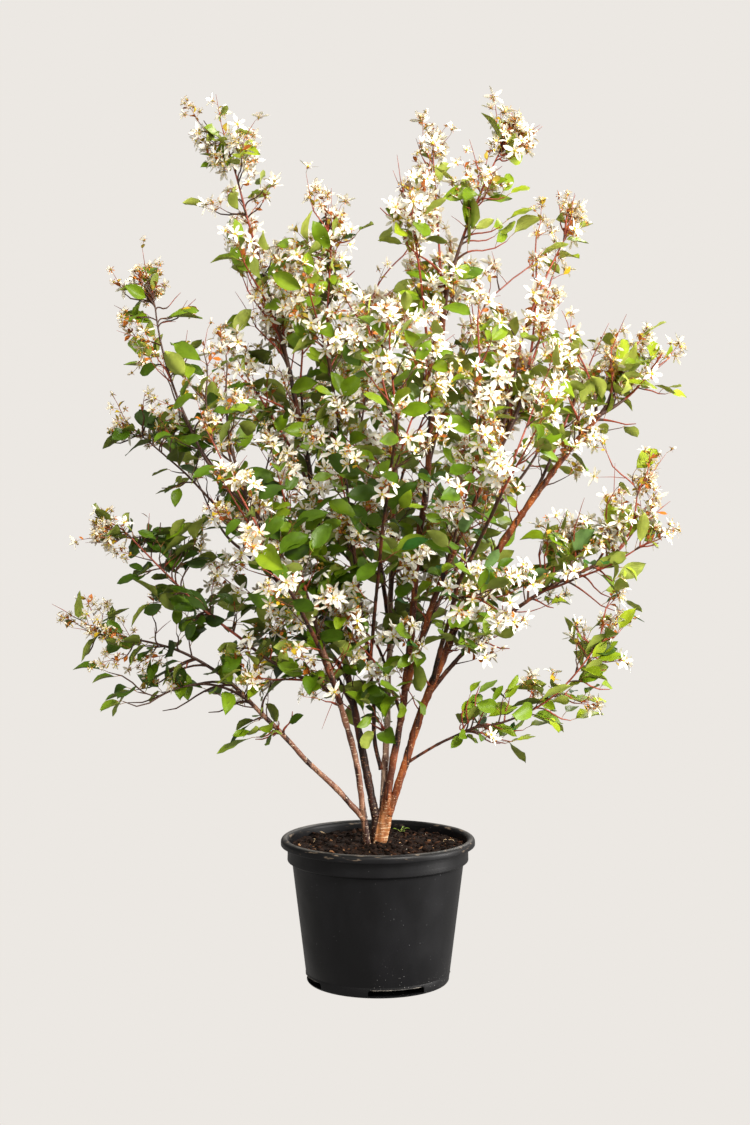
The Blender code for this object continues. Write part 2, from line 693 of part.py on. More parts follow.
def make_masses(collection, arcs, cutters):
    leaders = {mass.name: leader_arc(mass, arcs) for mass in MASSES}
    stems = {mass.name: make_stem(mass, leaders[mass.name], arcs, collection) for mass in MASSES}
    limbs = [faces_of(cutter) for cutter in cutters]
    grower = Grower(Spaces(leaders), limbs)
    for mass in MASSES:
        grower.solids = limbs + [faces_of(stem) for name, stem in stems.items() if name != mass.name]
        pieces = grow_mass(grower, mass, leaders[mass.name])
        stem = stems[mass.name]
        fuse(stem, pieces)
        if mass.share < 1:
            cut_away(stem, [next(c for c in cutters if c.name == mass.limb + "_cutter")])
        paint(stem, FOLIAGE)


def main():
    clear_scene()
    shrub = new_collection("serviceberry shrub")
    make_pot(shrub)
    make_soil(shrub)
    arcs = {}
    cutters = make_limbs(shrub, arcs)
    make_masses(shrub, arcs, cutters)
    for cutter in cutters:
        bpy.data.objects.remove(cutter)


main()
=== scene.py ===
"""The looks of a flowering serviceberry shrub in its black nursery pot, in metres with +Z up.

The origin is the middle of the pot's flat underside. In the front view +X is to the right and
+Y points away. A bearing is measured round the pot's axis: 0 is right, 90 back, 180 left, 270 front.
Limbs and foliage stems follow the tables and the rules of the solids that they replace, and are
carried on here to fine twigs, leaves and blossom.
"""

import json
import math
import random
from collections import namedtuple

import bmesh
import bpy
import numpy as np
from mathutils import Matrix, Vector, noise
from mathutils.kdtree import KDTree

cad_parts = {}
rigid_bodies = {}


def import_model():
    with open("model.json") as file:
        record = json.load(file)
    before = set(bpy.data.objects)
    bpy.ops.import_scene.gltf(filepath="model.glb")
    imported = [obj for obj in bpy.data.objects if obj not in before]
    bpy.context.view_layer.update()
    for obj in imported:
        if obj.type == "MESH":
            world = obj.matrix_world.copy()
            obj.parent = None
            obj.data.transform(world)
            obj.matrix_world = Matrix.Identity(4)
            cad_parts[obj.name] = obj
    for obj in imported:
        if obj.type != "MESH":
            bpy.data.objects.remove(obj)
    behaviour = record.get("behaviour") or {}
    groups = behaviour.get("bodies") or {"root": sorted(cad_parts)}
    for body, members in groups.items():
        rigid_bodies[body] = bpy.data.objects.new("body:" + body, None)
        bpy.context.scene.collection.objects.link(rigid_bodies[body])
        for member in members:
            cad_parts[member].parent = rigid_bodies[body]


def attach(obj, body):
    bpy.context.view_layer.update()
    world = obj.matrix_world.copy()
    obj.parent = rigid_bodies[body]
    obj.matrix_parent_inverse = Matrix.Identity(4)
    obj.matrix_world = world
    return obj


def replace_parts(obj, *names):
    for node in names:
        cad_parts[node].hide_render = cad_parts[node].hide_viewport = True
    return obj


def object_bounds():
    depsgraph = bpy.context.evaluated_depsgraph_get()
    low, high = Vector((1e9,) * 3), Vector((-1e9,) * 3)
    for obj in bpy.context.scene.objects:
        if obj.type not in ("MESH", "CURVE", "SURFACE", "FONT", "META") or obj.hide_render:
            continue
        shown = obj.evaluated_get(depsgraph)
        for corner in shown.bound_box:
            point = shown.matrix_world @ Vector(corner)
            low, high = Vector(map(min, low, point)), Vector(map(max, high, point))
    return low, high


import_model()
cad_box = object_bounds()

UP = Vector((0, 0, 1))
GOLDEN = math.radians(137.5)  # turn from one leaf or twig to the next round a stem

# Camera, whose frame is 750 by 1125 pixels
CAMERA_PLACE = (-0.0042, -2.6, 0.7132)
CAMERA_TILT = 2.41  # degrees below level
CAMERA_LENS = 58.08

# Pot
POT_HEIGHT = 0.208
LIP_RADIUS = 0.140
LIP_DEPTH = 0.011
COLLAR_RADIUS = 0.1305
COLLAR_DEPTH = 0.022
SHOULDER_DEPTH = 0.004
BODY_RADIUS = 0.1235
FOOT_RADIUS = 0.1025
FOOT_ROUND = 0.004
WALL = 0.002
POT_STEPS = 144
RING_HEIGHT = 0.015
SLOTS = 4
SLOT_BEARING = -74.5
SLOT_SPAN = 47.0
SLOT_BOTTOM = 0.003
SLOT_TOP = 0.012
SLOT_ROUND = 0.004
EDGE_STEPS = 14

# Soil
SOIL_TOP = 0.198
SOIL_EDGE = 0.195
SOIL_RADIUS = COLLAR_RADIUS - WALL - 0.0006
SOIL_LEVEL_RADIUS = 0.030

# Trunk
TRUNK_FOOT = Vector((0.004, 0.010, SOIL_TOP + 0.0003))
TRUNK_FORK = Vector((0.0115, 0.008, 0.264))
TRUNK_WAIST = 0.0108
TRUNK_FLARE = 0.0014
TRUNK_SWELL = 0.0032
TRUNK_SIDE = 0.5  # how far from its middle a bough starts, as a share of its radius
SIDE_STEM_FOOT = Vector((-0.015, 0.000, SOIL_TOP + 0.0003))
SUNK = 0.006  # how far the bark runs on below the soil
FORK_REACH = 0.030  # how far up its boughs the trunk's mesh runs
# Where each bough's foot stands in the soil, aside of and behind the trunk's middle
BOUGH_FEET = {
    "bough_upper_left": (-0.0080, 0.0020),
    "bough_right": (0.0034, 0.0000),
    "bough_top": (0.0010, 0.0030),
    "bough_middle": (-0.0008, -0.0025),
}

# A limb leaves its parent at a share of the parent's length, and its tip stands at a bearing,
# a reach from the pot's axis and a height. Bow is how far its middle stands above a straight line.
Limb = namedtuple("Limb", "name parent share bearing reach height bow foot_radius tip_radius")
LIMBS = (
    Limb("side_stem", "soil", 0, 209, 0.184, 0.666, 0.028, 0.0052, 0.0030),
    Limb("bough_low_left", "side_stem", 0.07, 186, 0.201, 0.423, 0.000, 0.0042, 0.0030),
    Limb("bough_right", "trunk", 0.60, 0, 0.317, 0.815, 0.040, 0.0078, 0.0036),
    Limb("bough_upper_left", "trunk", 0.55, 159, 0.138, 0.882, -0.002, 0.0060, 0.0032),
    Limb("bough_top", "trunk", 0.95, 0, 0.097, 0.985, 0.000, 0.0064, 0.0032),
    Limb("bough_middle", "trunk", 0.90, 71, 0.085, 0.825, 0.000, 0.0052, 0.0030),
    Limb("bough_thin", "bough_middle", 0.08, 198, 0.065, 0.835, 0.000, 0.0032, 0.0022),
    Limb("bough_mid_left", "bough_upper_left", 0.24, 186, 0.197, 0.651, 0.006, 0.0030, 0.0022),
    Limb("bough_upper_right", "bough_top", 0.22, 335, 0.187, 0.766, 0.008, 0.0048, 0.0028),
    Limb("bough_mid_right", "bough_right", 0.27, 0, 0.304, 0.596, 0.020, 0.0034, 0.0024),
    Limb("bough_low_right", "bough_right", 0.115, 352, 0.140, 0.369, 0.002, 0.0022, 0.0018),
    Limb("bough_back", "bough_middle", 0.38, 95, 0.270, 0.800, 0.020, 0.0036, 0.0024),
    Limb("bough_back_left", "bough_upper_left", 0.30, 138, 0.290, 0.620, 0.015, 0.0034, 0.0024),
    Limb("bough_back_right", "bough_top", 0.24, 42, 0.290, 0.720, 0.020, 0.0036, 0.0024),
    Limb("bough_front", "bough_thin", 0.28, 275, 0.230, 0.760, 0.020, 0.0026, 0.0022),
    Limb("bough_front_left", "side_stem", 0.42, 238, 0.250, 0.600, 0.012, 0.0034, 0.0024),
    Limb("bough_front_right", "bough_right", 0.30, 307, 0.250, 0.675, 0.020, 0.0036, 0.0024),
)

KINK_STEP = 0.060  # between a limb's old buds
KINK_SIZE = 0.0030
RING_STEP = 0.0035  # between the rings of a limb's mesh
THIN_LIMB = 0.004  # a foot radius up to this has young bark
BUD_HEIGHT = 0.003  # of the swelling at an old bud, to each side
BUD_SWELL = 0.09  # of the radius
UNEVEN = 0.06  # how much a limb's radius wanders, as a share of it
COLLAR_SWELL = 0.35  # how much wider a side limb is where it leaves its parent
COLLAR_LENGTH = 2.2  # foot radii over which that fades
RELIEF = 0.16  # of the bark, as a share of the limb's foot radius
BARK_SEED = 11  # for the bark's relief, which would differ from run to run without it

# The real limbs swerve a few millimetres from those plain curves: a swerve is greatest at a share
# of the limb's length and fades on both sides of it.
Swerve = namedtuple("Swerve", "limb share spread aside")
SWERVES = (
    Swerve("side_stem", 0.28, 0.14, 0.0050),
    Swerve("bough_upper_left", 0.00, 0.40, -0.0050),
    Swerve("bough_middle", 0.00, 0.30, -0.0045),
    Swerve("bough_top", 0.00, 0.10, -0.0040),
    Swerve("bough_top", 0.24, 0.12, 0.0050),
    Swerve("bough_thin", 0.07, 0.09, -0.0090),
    Swerve("bough_right", 0.12, 0.12, 0.0050),
)
# How slim some limbs are at their foot, as a share of the solids' radius, which they reach halfway up
SLIMNESS = {"side_stem": 0.88, "bough_top": 0.82, "bough_right": 0.70, "bough_middle": 0.95}

# A mass leaves its limb at a share of the limb's length, where 1 is the limb's tip. Its tip stands
# at the bearing, reach and height, and girth is its longest side twig. Bloom is the share of its
# shoots that flower, leafy the share of its buds that hold a leaf, and light how light and
# yellow-green its leaves are, from 0 to 1, partly their own colour and partly painted light and shade.
Mass = namedtuple("Mass", "name limb share bearing reach height girth bloom leafy light bow", defaults=(0,))
MASSES = (
    Mass("foliage_top_left", "bough_upper_left", 1, 168, 0.241, 1.270, 0.070, 0.75, 0.45, 0.80, -0.005),
    Mass("foliage_top_middle", "bough_thin", 1, 204, 0.073, 1.125, 0.085, 0.80, 0.50, 0.60),
    Mass("foliage_upper_left", "side_stem", 1, 193, 0.348, 1.022, 0.100, 0.55, 0.60, 0.45, -0.028),
    Mass("foliage_mid_left", "bough_mid_left", 1, 186, 0.382, 0.830, 0.095, 0.55, 0.70, 0.35, -0.002),
    Mass("foliage_low_left", "bough_low_left", 1, 184, 0.456, 0.529, 0.095, 0.45, 0.75, 0.30),
    Mass("foliage_centre", "bough_middle", 1, 102, 0.102, 1.013, 0.090, 0.75, 0.60, 0.55),
    Mass("foliage_top_right", "bough_top", 1, 0, 0.197, 1.252, 0.070, 0.85, 0.40, 0.65, -0.006),
    Mass("foliage_upper_right", "bough_upper_right", 1, 350, 0.283, 1.120, 0.090, 0.90, 0.45, 0.60, 0.025),
    Mass("foliage_right", "bough_right", 1, 3, 0.443, 0.916, 0.095, 0.90, 0.50, 0.55, -0.008),
    Mass("foliage_mid_right", "bough_mid_right", 1, 0, 0.409, 0.756, 0.080, 0.90, 0.45, 0.55, -0.004),
    Mass("foliage_low_right", "bough_low_right", 1, 355, 0.365, 0.518, 0.080, 0.45, 0.80, 0.50, -0.017),
    Mass("foliage_back", "bough_back", 1, 95, 0.410, 0.990, 0.110, 0.60, 0.65, 0.50),
    Mass("foliage_back_left", "bough_back_left", 1, 138, 0.420, 0.760, 0.110, 0.55, 0.70, 0.45),
    Mass("foliage_back_right", "bough_back_right", 1, 42, 0.420, 0.900, 0.110, 0.60, 0.65, 0.50),
    Mass("foliage_front", "bough_front", 1, 272, 0.370, 0.930, 0.110, 0.70, 0.65, 0.40),
    Mass("foliage_front_left", "bough_front_left", 1, 238, 0.390, 0.740, 0.110, 0.60, 0.75, 0.35),
    Mass("foliage_front_right", "bough_front_right", 1, 306, 0.369, 0.817, 0.110, 0.70, 0.65, 0.40),
    Mass("foliage_side_left", "side_stem", 0.45, 187, 0.405, 0.682, 0.080, 0.40, 0.80, 0.25, -0.045),
    Mass("foliage_under_left", "bough_low_left", 0.85, 195, 0.397, 0.418, 0.070, 0.20, 0.80, 0.40, 0.020),
    Mass("foliage_crest_front", "bough_top", 0.72, 312, 0.067, 1.142, 0.065, 0.85, 0.40, 0.50),
    Mass("foliage_crest_back", "bough_top", 0.88, 21, 0.084, 1.234, 0.060, 0.85, 0.35, 0.60),
    Mass("foliage_side_right", "bough_right", 0.72, 9, 0.338, 0.946, 0.095, 0.80, 0.60, 0.50),
    Mass("foliage_tip_right", "bough_mid_right", 0.75, 356, 0.429, 0.651, 0.065, 0.40, 0.75, 0.55, -0.007),
    Mass("foliage_shoulder_left", "bough_upper_left", 0.70, 175, 0.220, 0.930, 0.100, 0.70, 0.60, 0.45),
    Mass("foliage_shoulder_back", "bough_upper_left", 0.82, 125, 0.200, 1.010, 0.100, 0.75, 0.55, 0.50),
    Mass("foliage_shoulder_right", "bough_top", 0.66, 38, 0.226, 1.037, 0.100, 0.75, 0.55, 0.50),
    Mass("foliage_inner_back", "bough_middle", 0.70, 60, 0.190, 0.900, 0.100, 0.60, 0.70, 0.30),
    Mass("foliage_inner_front", "bough_thin", 0.55, 251, 0.169, 0.759, 0.090, 0.55, 0.75, 0.30),
    Mass("foliage_inner_right", "bough_right", 0.48, 345, 0.230, 0.580, 0.080, 0.35, 0.80, 0.35),
    Mass("foliage_inner_left", "bough_mid_left", 0.35, 168, 0.260, 0.600, 0.090, 0.35, 0.80, 0.30),
    Mass("foliage_rear_low", "bough_back", 0.45, 100, 0.300, 0.620, 0.100, 0.40, 0.75, 0.35),
    Mass("foliage_rear_left", "bough_back_left", 0.75, 118, 0.330, 0.860, 0.110, 0.55, 0.70, 0.40),
    Mass("foliage_rear_right", "bough_back_right", 0.75, 65, 0.350, 0.790, 0.110, 0.55, 0.70, 0.40),
    Mass("foliage_brow", "bough_front", 0.80, 292, 0.216, 0.899, 0.100, 0.75, 0.60, 0.40),
    Mass("foliage_cheek_left", "bough_front_left", 0.80, 215, 0.300, 0.820, 0.100, 0.60, 0.70, 0.35),
    Mass("foliage_cheek_right", "bough_front_right", 0.45, 311, 0.290, 0.548, 0.090, 0.70, 0.65, 0.45),
    Mass("foliage_waist_left", "side_stem", 0.58, 232, 0.230, 0.760, 0.100, 0.55, 0.75, 0.30),
    Mass("foliage_waist_right", "bough_upper_right", 0.45, 313, 0.219, 0.818, 0.100, 0.65, 0.70, 0.35),
    Mass("foliage_low_centre", "bough_top", 0.17, 222, 0.090, 0.551, 0.080, 0.35, 0.80, 0.30),
    Mass("foliage_heart", "bough_middle", 0.50, 300, 0.060, 0.880, 0.090, 0.65, 0.65, 0.30),
)

# Small sprays between the masses, grown by the same rule from a limb or from a mass's own stem, where it
# is nearest: name, limb, bearing, reach, height, girth, bloom, leafy, light and, for a few, bow
SPRIGS = (
    ("elbow_leaf", "bough_low_left", 184, 0.186, 0.352, 0.020, 0.0, 1.0, 0.60),
    ("elbow_up", "bough_low_left", 188, 0.150, 0.462, 0.024, 0.1, 0.9, 0.30),
    ("elbow_low", "bough_low_left", 188, 0.262, 0.388, 0.035, 0.0, 0.9, 0.20),
    ("low_blossom", "side_stem", 200, 0.094, 0.412, 0.020, 1.0, 0.2, 0.30),
    ("low_leaves", "side_stem", 197, 0.222, 0.462, 0.045, 0.2, 1.0, 0.55),
    ("left_blossom", "side_stem", 224, 0.150, 0.620, 0.050, 1.0, 0.4, 0.40),
    ("left_blossom_low", "side_stem", 226, 0.142, 0.540, 0.050, 1.0, 0.4, 0.40),
    ("low_down", "foliage_low_left", 184, 0.388, 0.400, 0.020, 0.0, 1.0, 0.50),
    ("low_down_in", "foliage_low_left", 184, 0.338, 0.382, 0.020, 0.1, 1.0, 0.45),
    ("low_wisp", "foliage_low_left", 184, 0.325, 0.540, 0.030, 1.0, 0.2, 0.30),
    ("low_leaf_up", "foliage_low_left", 184, 0.290, 0.512, 0.025, 0.1, 1.0, 0.30),
    ("low_under", "foliage_low_left", 184, 0.430, 0.460, 0.025, 0.2, 1.0, 0.20),
    ("low_cloud", "foliage_low_left", 188, 0.372, 0.462, 0.040, 0.9, 0.4, 0.30),
    ("side_low", "foliage_side_left", 187, 0.372, 0.582, 0.028, 0.1, 1.0, 0.30),
    ("side_low_in", "foliage_side_left", 187, 0.335, 0.545, 0.040, 0.1, 1.0, 0.25),
    ("side_under", "foliage_side_left", 190, 0.285, 0.520, 0.040, 0.1, 1.0, 0.25),
    ("side_up", "foliage_side_left", 187, 0.305, 0.678, 0.035, 0.2, 1.0, 0.35),
    ("side_up_in", "foliage_side_left", 187, 0.258, 0.648, 0.045, 0.2, 1.0, 0.30),
    ("side_end", "foliage_side_left", 187, 0.412, 0.640, 0.030, 0.8, 0.4, 0.30),
    ("mid_low", "foliage_mid_left", 186, 0.390, 0.772, 0.022, 0.1, 1.0, 0.55),
    ("mid_under", "foliage_mid_left", 186, 0.322, 0.708, 0.024, 0.1, 1.0, 0.50),
    ("mid_cloud", "foliage_mid_left", 190, 0.335, 0.830, 0.035, 0.6, 0.6, 0.30),
    ("spire_leaf", "foliage_top_left", 168, 0.262, 1.118, 0.012, 0.0, 1.0, 0.75),
    ("spire_right", "foliage_top_left", 164, 0.162, 1.152, 0.018, 0.0, 1.0, 0.85),
    ("spire_high", "foliage_top_left", 166, 0.192, 1.222, 0.020, 0.5, 1.0, 0.85),
    ("spire_left", "foliage_top_left", 169, 0.258, 1.210, 0.034, 1.0, 0.4, 0.70),
    ("spire_tip", "foliage_top_left", 169, 0.278, 1.252, 0.012, 0.2, 1.0, 0.85),
    ("cloud_high", "foliage_top_middle", 190, 0.105, 1.055, 0.050, 1.0, 0.3, 0.55),
    ("cloud_left", "foliage_top_middle", 190, 0.140, 1.020, 0.055, 1.0, 0.3, 0.55),
    ("cloud_right", "foliage_centre", 225, 0.080, 0.990, 0.055, 1.0, 0.4, 0.55),
    ("shoulder_a", "bough_upper_left", 172, 0.205, 1.055, 0.050, 0.9, 0.5, 0.65),
    ("shoulder_b", "bough_upper_left", 163, 0.140, 1.060, 0.050, 0.9, 0.4, 0.65),
    ("shoulder_c", "bough_upper_left", 172, 0.205, 0.985, 0.055, 0.8, 0.6, 0.60),
    ("crest", "bough_top", 285, 0.060, 1.090, 0.045, 0.9, 0.5, 0.60),
    ("crest_left", "foliage_crest_front", 300, 0.050, 1.165, 0.040, 1.0, 0.4, 0.60),
    ("crest_leaf", "foliage_crest_front", 180, 0.012, 1.118, 0.012, 0.0, 1.0, 0.70),
    ("peak_left", "foliage_top_right", 350, 0.135, 1.180, 0.034, 1.0, 0.4, 0.60),
    ("peak_leaf", "foliage_top_right", 0, 0.168, 1.248, 0.012, 0.1, 1.0, 0.75),
    ("peak_right", "foliage_top_right", 358, 0.222, 1.205, 0.036, 1.0, 0.4, 0.75),
    ("peak_low", "foliage_top_right", 355, 0.190, 1.085, 0.016, 0.1, 1.0, 0.75),
    ("upper_right", "bough_upper_right", 350, 0.236, 1.110, 0.040, 0.9, 0.5, 0.70, -0.004),
    ("upper_low", "bough_upper_right", 350, 0.262, 1.050, 0.045, 1.0, 0.5, 0.70),
    ("left_in", "side_stem", 193, 0.232, 0.945, 0.065, 0.7, 0.6, 0.40, -0.005),
    ("left_in_low", "side_stem", 192, 0.246, 0.850, 0.065, 0.6, 0.7, 0.40, -0.005),
    ("left_leaf", "foliage_upper_left", 190, 0.290, 0.968, 0.014, 0.1, 1.0, 0.60),
    ("right_leaf", "bough_right", 357, 0.385, 0.800, 0.020, 0.2, 0.9, 0.85),
    ("right_up", "bough_right", 357, 0.345, 0.955, 0.045, 0.9, 0.5, 0.75),
    ("right_high", "bough_right", 4, 0.390, 0.945, 0.045, 0.9, 0.5, 0.75),
    ("right_inner", "bough_right", 0, 0.262, 0.975, 0.060, 0.9, 0.6, 0.65),
    ("right_tip", "foliage_right", 1, 0.425, 0.842, 0.020, 0.3, 1.0, 0.95),
    ("blossom_right", "bough_mid_right", 354, 0.290, 0.700, 0.050, 1.0, 0.3, 0.60),
    ("blossom_over", "bough_mid_right", 356, 0.345, 0.735, 0.050, 1.0, 0.2, 0.60),
    ("blossom_tip", "bough_mid_right", 3, 0.422, 0.690, 0.050, 1.0, 0.4, 0.70),
    ("hanging", "bough_mid_right", 357, 0.365, 0.520, 0.020, 0.0, 1.0, 0.90),
    ("under_right", "bough_mid_right", 351, 0.205, 0.480, 0.035, 0.3, 0.9, 0.45),
    ("over_right", "bough_mid_right", 352, 0.245, 0.650, 0.050, 0.6, 0.8, 0.45),
    ("low_up", "bough_low_right", 0, 0.150, 0.445, 0.028, 0.1, 0.9, 0.45),
    ("low_in", "bough_low_right", 349, 0.128, 0.362, 0.022, 0.1, 0.9, 0.35),
    ("low_leaf", "bough_low_right", 355, 0.206, 0.342, 0.020, 0.0, 1.0, 0.75),
    ("low_tip", "foliage_low_right", 357, 0.342, 0.582, 0.040, 1.0, 0.5, 0.75),
    ("low_rise", "foliage_low_right", 357, 0.290, 0.510, 0.022, 0.2, 1.0, 0.55),
    ("low_end", "foliage_low_right", 357, 0.350, 0.420, 0.022, 0.1, 1.0, 0.60),
    ("low_heart", "bough_middle", 318, 0.090, 0.620, 0.055, 0.3, 0.9, 0.35),
    ("low_heart_left", "bough_middle", 232, 0.080, 0.560, 0.055, 0.4, 0.8, 0.30),
    ("low_back", "bough_top", 60, 0.120, 0.640, 0.055, 0.3, 0.8, 0.30),
    ("gap_left", "bough_middle", 205, 0.032, 0.395, 0.022, 0.0, 1.0, 0.30),
    ("gap_middle", "bough_middle", 260, 0.012, 0.440, 0.026, 0.2, 1.0, 0.35),
    ("gap_right", "bough_top", 330, 0.062, 0.480, 0.026, 0.2, 1.0, 0.40),
    ("upper_peak", "foliage_upper_left", 192, 0.332, 1.016, 0.022, 0.9, 0.5, 0.55),
    ("upper_side", "foliage_upper_left", 187, 0.372, 0.990, 0.022, 0.3, 0.9, 0.50),
    ("mid_end", "foliage_mid_left", 186, 0.352, 0.798, 0.045, 0.6, 0.8, 0.35),
    ("mid_inner", "foliage_mid_left", 186, 0.302, 0.796, 0.045, 0.5, 0.8, 0.35),
    ("low_tip_left", "foliage_low_left", 184, 0.444, 0.535, 0.030, 0.6, 0.8, 0.30),
    ("low_first", "bough_low_right", 352, 0.124, 0.405, 0.026, 0.1, 1.0, 0.35),
    ("low_second", "bough_low_right", 352, 0.160, 0.402, 0.030, 0.1, 1.0, 0.40),
    ("spire_middle", "foliage_top_left", 169, 0.242, 1.182, 0.030, 1.0, 0.4, 0.70),
    ("spire_low", "foliage_top_left", 169, 0.232, 1.112, 0.030, 0.9, 0.5, 0.70),
    ("spire_in", "foliage_top_left", 166, 0.165, 1.130, 0.024, 0.8, 0.6, 0.70),
    ("low_waist", "bough_right", 350, 0.134, 0.515, 0.030, 0.2, 1.0, 0.40),
    ("spire_top", "foliage_top_left", 181, 0.258, 1.243, 0.012, 0.0, 1.0, 0.80),
    ("spire_heart", "foliage_top_left", 175, 0.215, 1.196, 0.030, 1.0, 0.5, 0.70),
    ("small_spire_in", "foliage_top_middle", 187, 0.079, 1.128, 0.028, 1.0, 0.3, 0.60),
    ("cloud_outer", "bough_upper_left", 186, 0.206, 1.035, 0.042, 0.9, 0.5, 0.60),
    ("small_spire_green", "foliage_top_middle", 204, 0.024, 1.072, 0.012, 0.0, 1.0, 0.30),
    ("heart_green", "foliage_top_middle", 156, 0.024, 1.028, 0.012, 0.0, 1.0, 0.50),
    ("crest_spire", "foliage_crest_back", 18, 0.063, 1.218, 0.036, 1.0, 0.4, 0.60),
    ("crest_spire_low", "foliage_crest_back", 350, 0.057, 1.188, 0.034, 1.0, 0.4, 0.60),
    ("peak_heart", "foliage_top_right", 6, 0.181, 1.196, 0.030, 1.0, 0.4, 0.65),
    ("peak_side", "foliage_top_right", 0, 0.194, 1.126, 0.012, 0.0, 1.0, 0.70),
    ("peak_belly", "foliage_top_right", 3, 0.182, 1.074, 0.014, 0.0, 1.0, 0.75),
    ("upper_heart", "foliage_upper_right", 354, 0.270, 1.082, 0.040, 1.0, 0.4, 0.70),
    ("left_leaf_in", "foliage_upper_left", 188, 0.279, 0.960, 0.012, 0.0, 1.0, 0.60),
    ("upper_blossom", "foliage_upper_left", 190, 0.333, 0.986, 0.026, 0.9, 0.4, 0.50),
    ("inner_blossom", "bough_upper_right", 10, 0.167, 0.955, 0.042, 1.0, 0.4, 0.60),
    ("heart_middle", "bough_thin", 220, 0.062, 0.828, 0.045, 0.9, 0.6, 0.40),
    ("heart_side", "bough_thin", 198, 0.097, 0.795, 0.045, 0.8, 0.7, 0.35),
    ("right_belly", "bough_right", 2, 0.350, 0.846, 0.016, 0.1, 1.0, 0.60),
    ("side_blossom", "foliage_side_left", 186, 0.392, 0.662, 0.036, 0.9, 0.5, 0.30),
    ("side_blossom_in", "foliage_side_left", 188, 0.375, 0.645, 0.036, 0.8, 0.6, 0.30),
    ("side_leaf", "foliage_side_left", 187, 0.324, 0.655, 0.016, 0.1, 1.0, 0.30),
    ("side_leaf_in", "foliage_side_left", 186, 0.270, 0.661, 0.012, 0.0, 1.0, 0.25),
    ("tip_leaf", "foliage_tip_right", 357, 0.410, 0.636, 0.014, 0.0, 1.0, 0.60),
    ("hanging_in", "bough_mid_right", 358, 0.360, 0.568, 0.018, 0.0, 1.0, 0.60),
    ("under_mid", "bough_mid_right", 358, 0.262, 0.535, 0.020, 0.0, 1.0, 0.65),
    ("stems_leaf", "bough_thin", 215, 0.070, 0.604, 0.030, 0.2, 1.0, 0.30),
    ("side_bottom", "foliage_side_left", 189, 0.255, 0.535, 0.022, 0.1, 1.0, 0.35),
    ("elbow_leaf_up", "bough_low_left", 189, 0.192, 0.378, 0.012, 0.0, 1.0, 0.15),
    ("low_pair", "foliage_low_right", 358, 0.292, 0.372, 0.018, 0.0, 1.0, 0.50),
    ("low_pair_out", "foliage_low_right", 356, 0.317, 0.402, 0.018, 0.0, 1.0, 0.45),
    ("low_fresh", "foliage_low_right", 357, 0.337, 0.450, 0.016, 0.0, 1.0, 0.70),
    ("low_blossoms", "foliage_low_right", 357, 0.222, 0.425, 0.028, 1.0, 0.5, 0.50),
    ("low_leaf_in", "bough_low_right", 3, 0.192, 0.336, 0.016, 0.0, 1.0, 0.45),
    ("front_heart", "foliage_brow", 282, 0.143, 0.965, 0.070, 0.7, 0.6, 0.50),
    ("front_cloud", "bough_thin", 236, 0.180, 1.015, 0.070, 0.8, 0.5, 0.55),
    ("front_shoulder", "foliage_waist_right", 312, 0.202, 0.985, 0.070, 0.8, 0.6, 0.55),
    ("front_left", "foliage_cheek_left", 208, 0.273, 0.925, 0.060, 0.7, 0.6, 0.45),
    ("front_right", "bough_front_right", 328, 0.283, 0.895, 0.065, 0.7, 0.6, 0.50),
    ("front_high", "foliage_front", 265, 0.241, 0.950, 0.070, 0.7, 0.6, 0.50),
    ("front_brow", "foliage_brow", 288, 0.231, 0.930, 0.060, 0.7, 0.6, 0.50),
    ("front_crest", "foliage_crest_front", 301, 0.117, 1.130, 0.045, 0.9, 0.4, 0.55),
    ("front_spire", "bough_upper_left", 207, 0.224, 1.062, 0.045, 0.8, 0.5, 0.60),
    ("back_cloud", "foliage_shoulder_back", 117, 0.179, 1.078, 0.065, 0.8, 0.5, 0.55),
    ("back_crest", "foliage_centre", 69, 0.171, 1.120, 0.060, 0.8, 0.5, 0.55),
    ("back_shoulder", "foliage_shoulder_right", 33, 0.311, 1.078, 0.060, 0.8, 0.5, 0.60),
    ("back_left", "foliage_shoulder_back", 130, 0.262, 1.055, 0.065, 0.8, 0.5, 0.55),
    ("back_heart", "foliage_back", 84, 0.272, 1.005, 0.070, 0.7, 0.6, 0.50),
    ("back_waist", "foliage_rear_left", 112, 0.323, 0.980, 0.070, 0.7, 0.6, 0.50),
    ("back_right", "foliage_rear_right", 61, 0.331, 0.965, 0.070, 0.7, 0.6, 0.50),
    ("back_peak", "foliage_top_right", 33, 0.201, 1.165, 0.036, 0.9, 0.5, 0.65),
    ("back_spire", "foliage_top_left", 153, 0.246, 1.148, 0.034, 0.9, 0.5, 0.70),
    ("back_side", "foliage_right", 22, 0.382, 0.928, 0.050, 0.8, 0.5, 0.60),
    ("back_upper", "foliage_upper_left", 160, 0.351, 0.900, 0.050, 0.6, 0.6, 0.45),
    ("stem_twig", "bough_right", 354, 0.125, 0.482, 0.034, 0.5, 0.8, 0.30),
    ("low_mist", "foliage_low_left", 185, 0.323, 0.440, 0.030, 1.0, 0.4, 0.30),
    ("right_heart", "foliage_side_right", 355, 0.216, 0.956, 0.040, 0.8, 0.8, 0.60),
    ("spire_side", "foliage_top_left", 183, 0.192, 1.190, 0.026, 1.0, 0.6, 0.70),
    ("crest_side", "foliage_crest_front", 326, 0.036, 1.136, 0.032, 1.0, 0.4, 0.60),
    ("upper_leaf", "foliage_upper_left", 191, 0.324, 1.022, 0.012, 0.0, 1.0, 0.70),
    ("stems_low", "bough_middle", 253, 0.042, 0.412, 0.026, 0.1, 1.0, 0.35),
    ("stems_right", "bough_top", 315, 0.042, 0.425, 0.026, 0.1, 1.0, 0.40),
    ("stems_limb", "bough_right", 333, 0.067, 0.462, 0.028, 0.1, 1.0, 0.40),
    ("stems_high", "bough_top", 326, 0.054, 0.505, 0.028, 0.1, 1.0, 0.35),
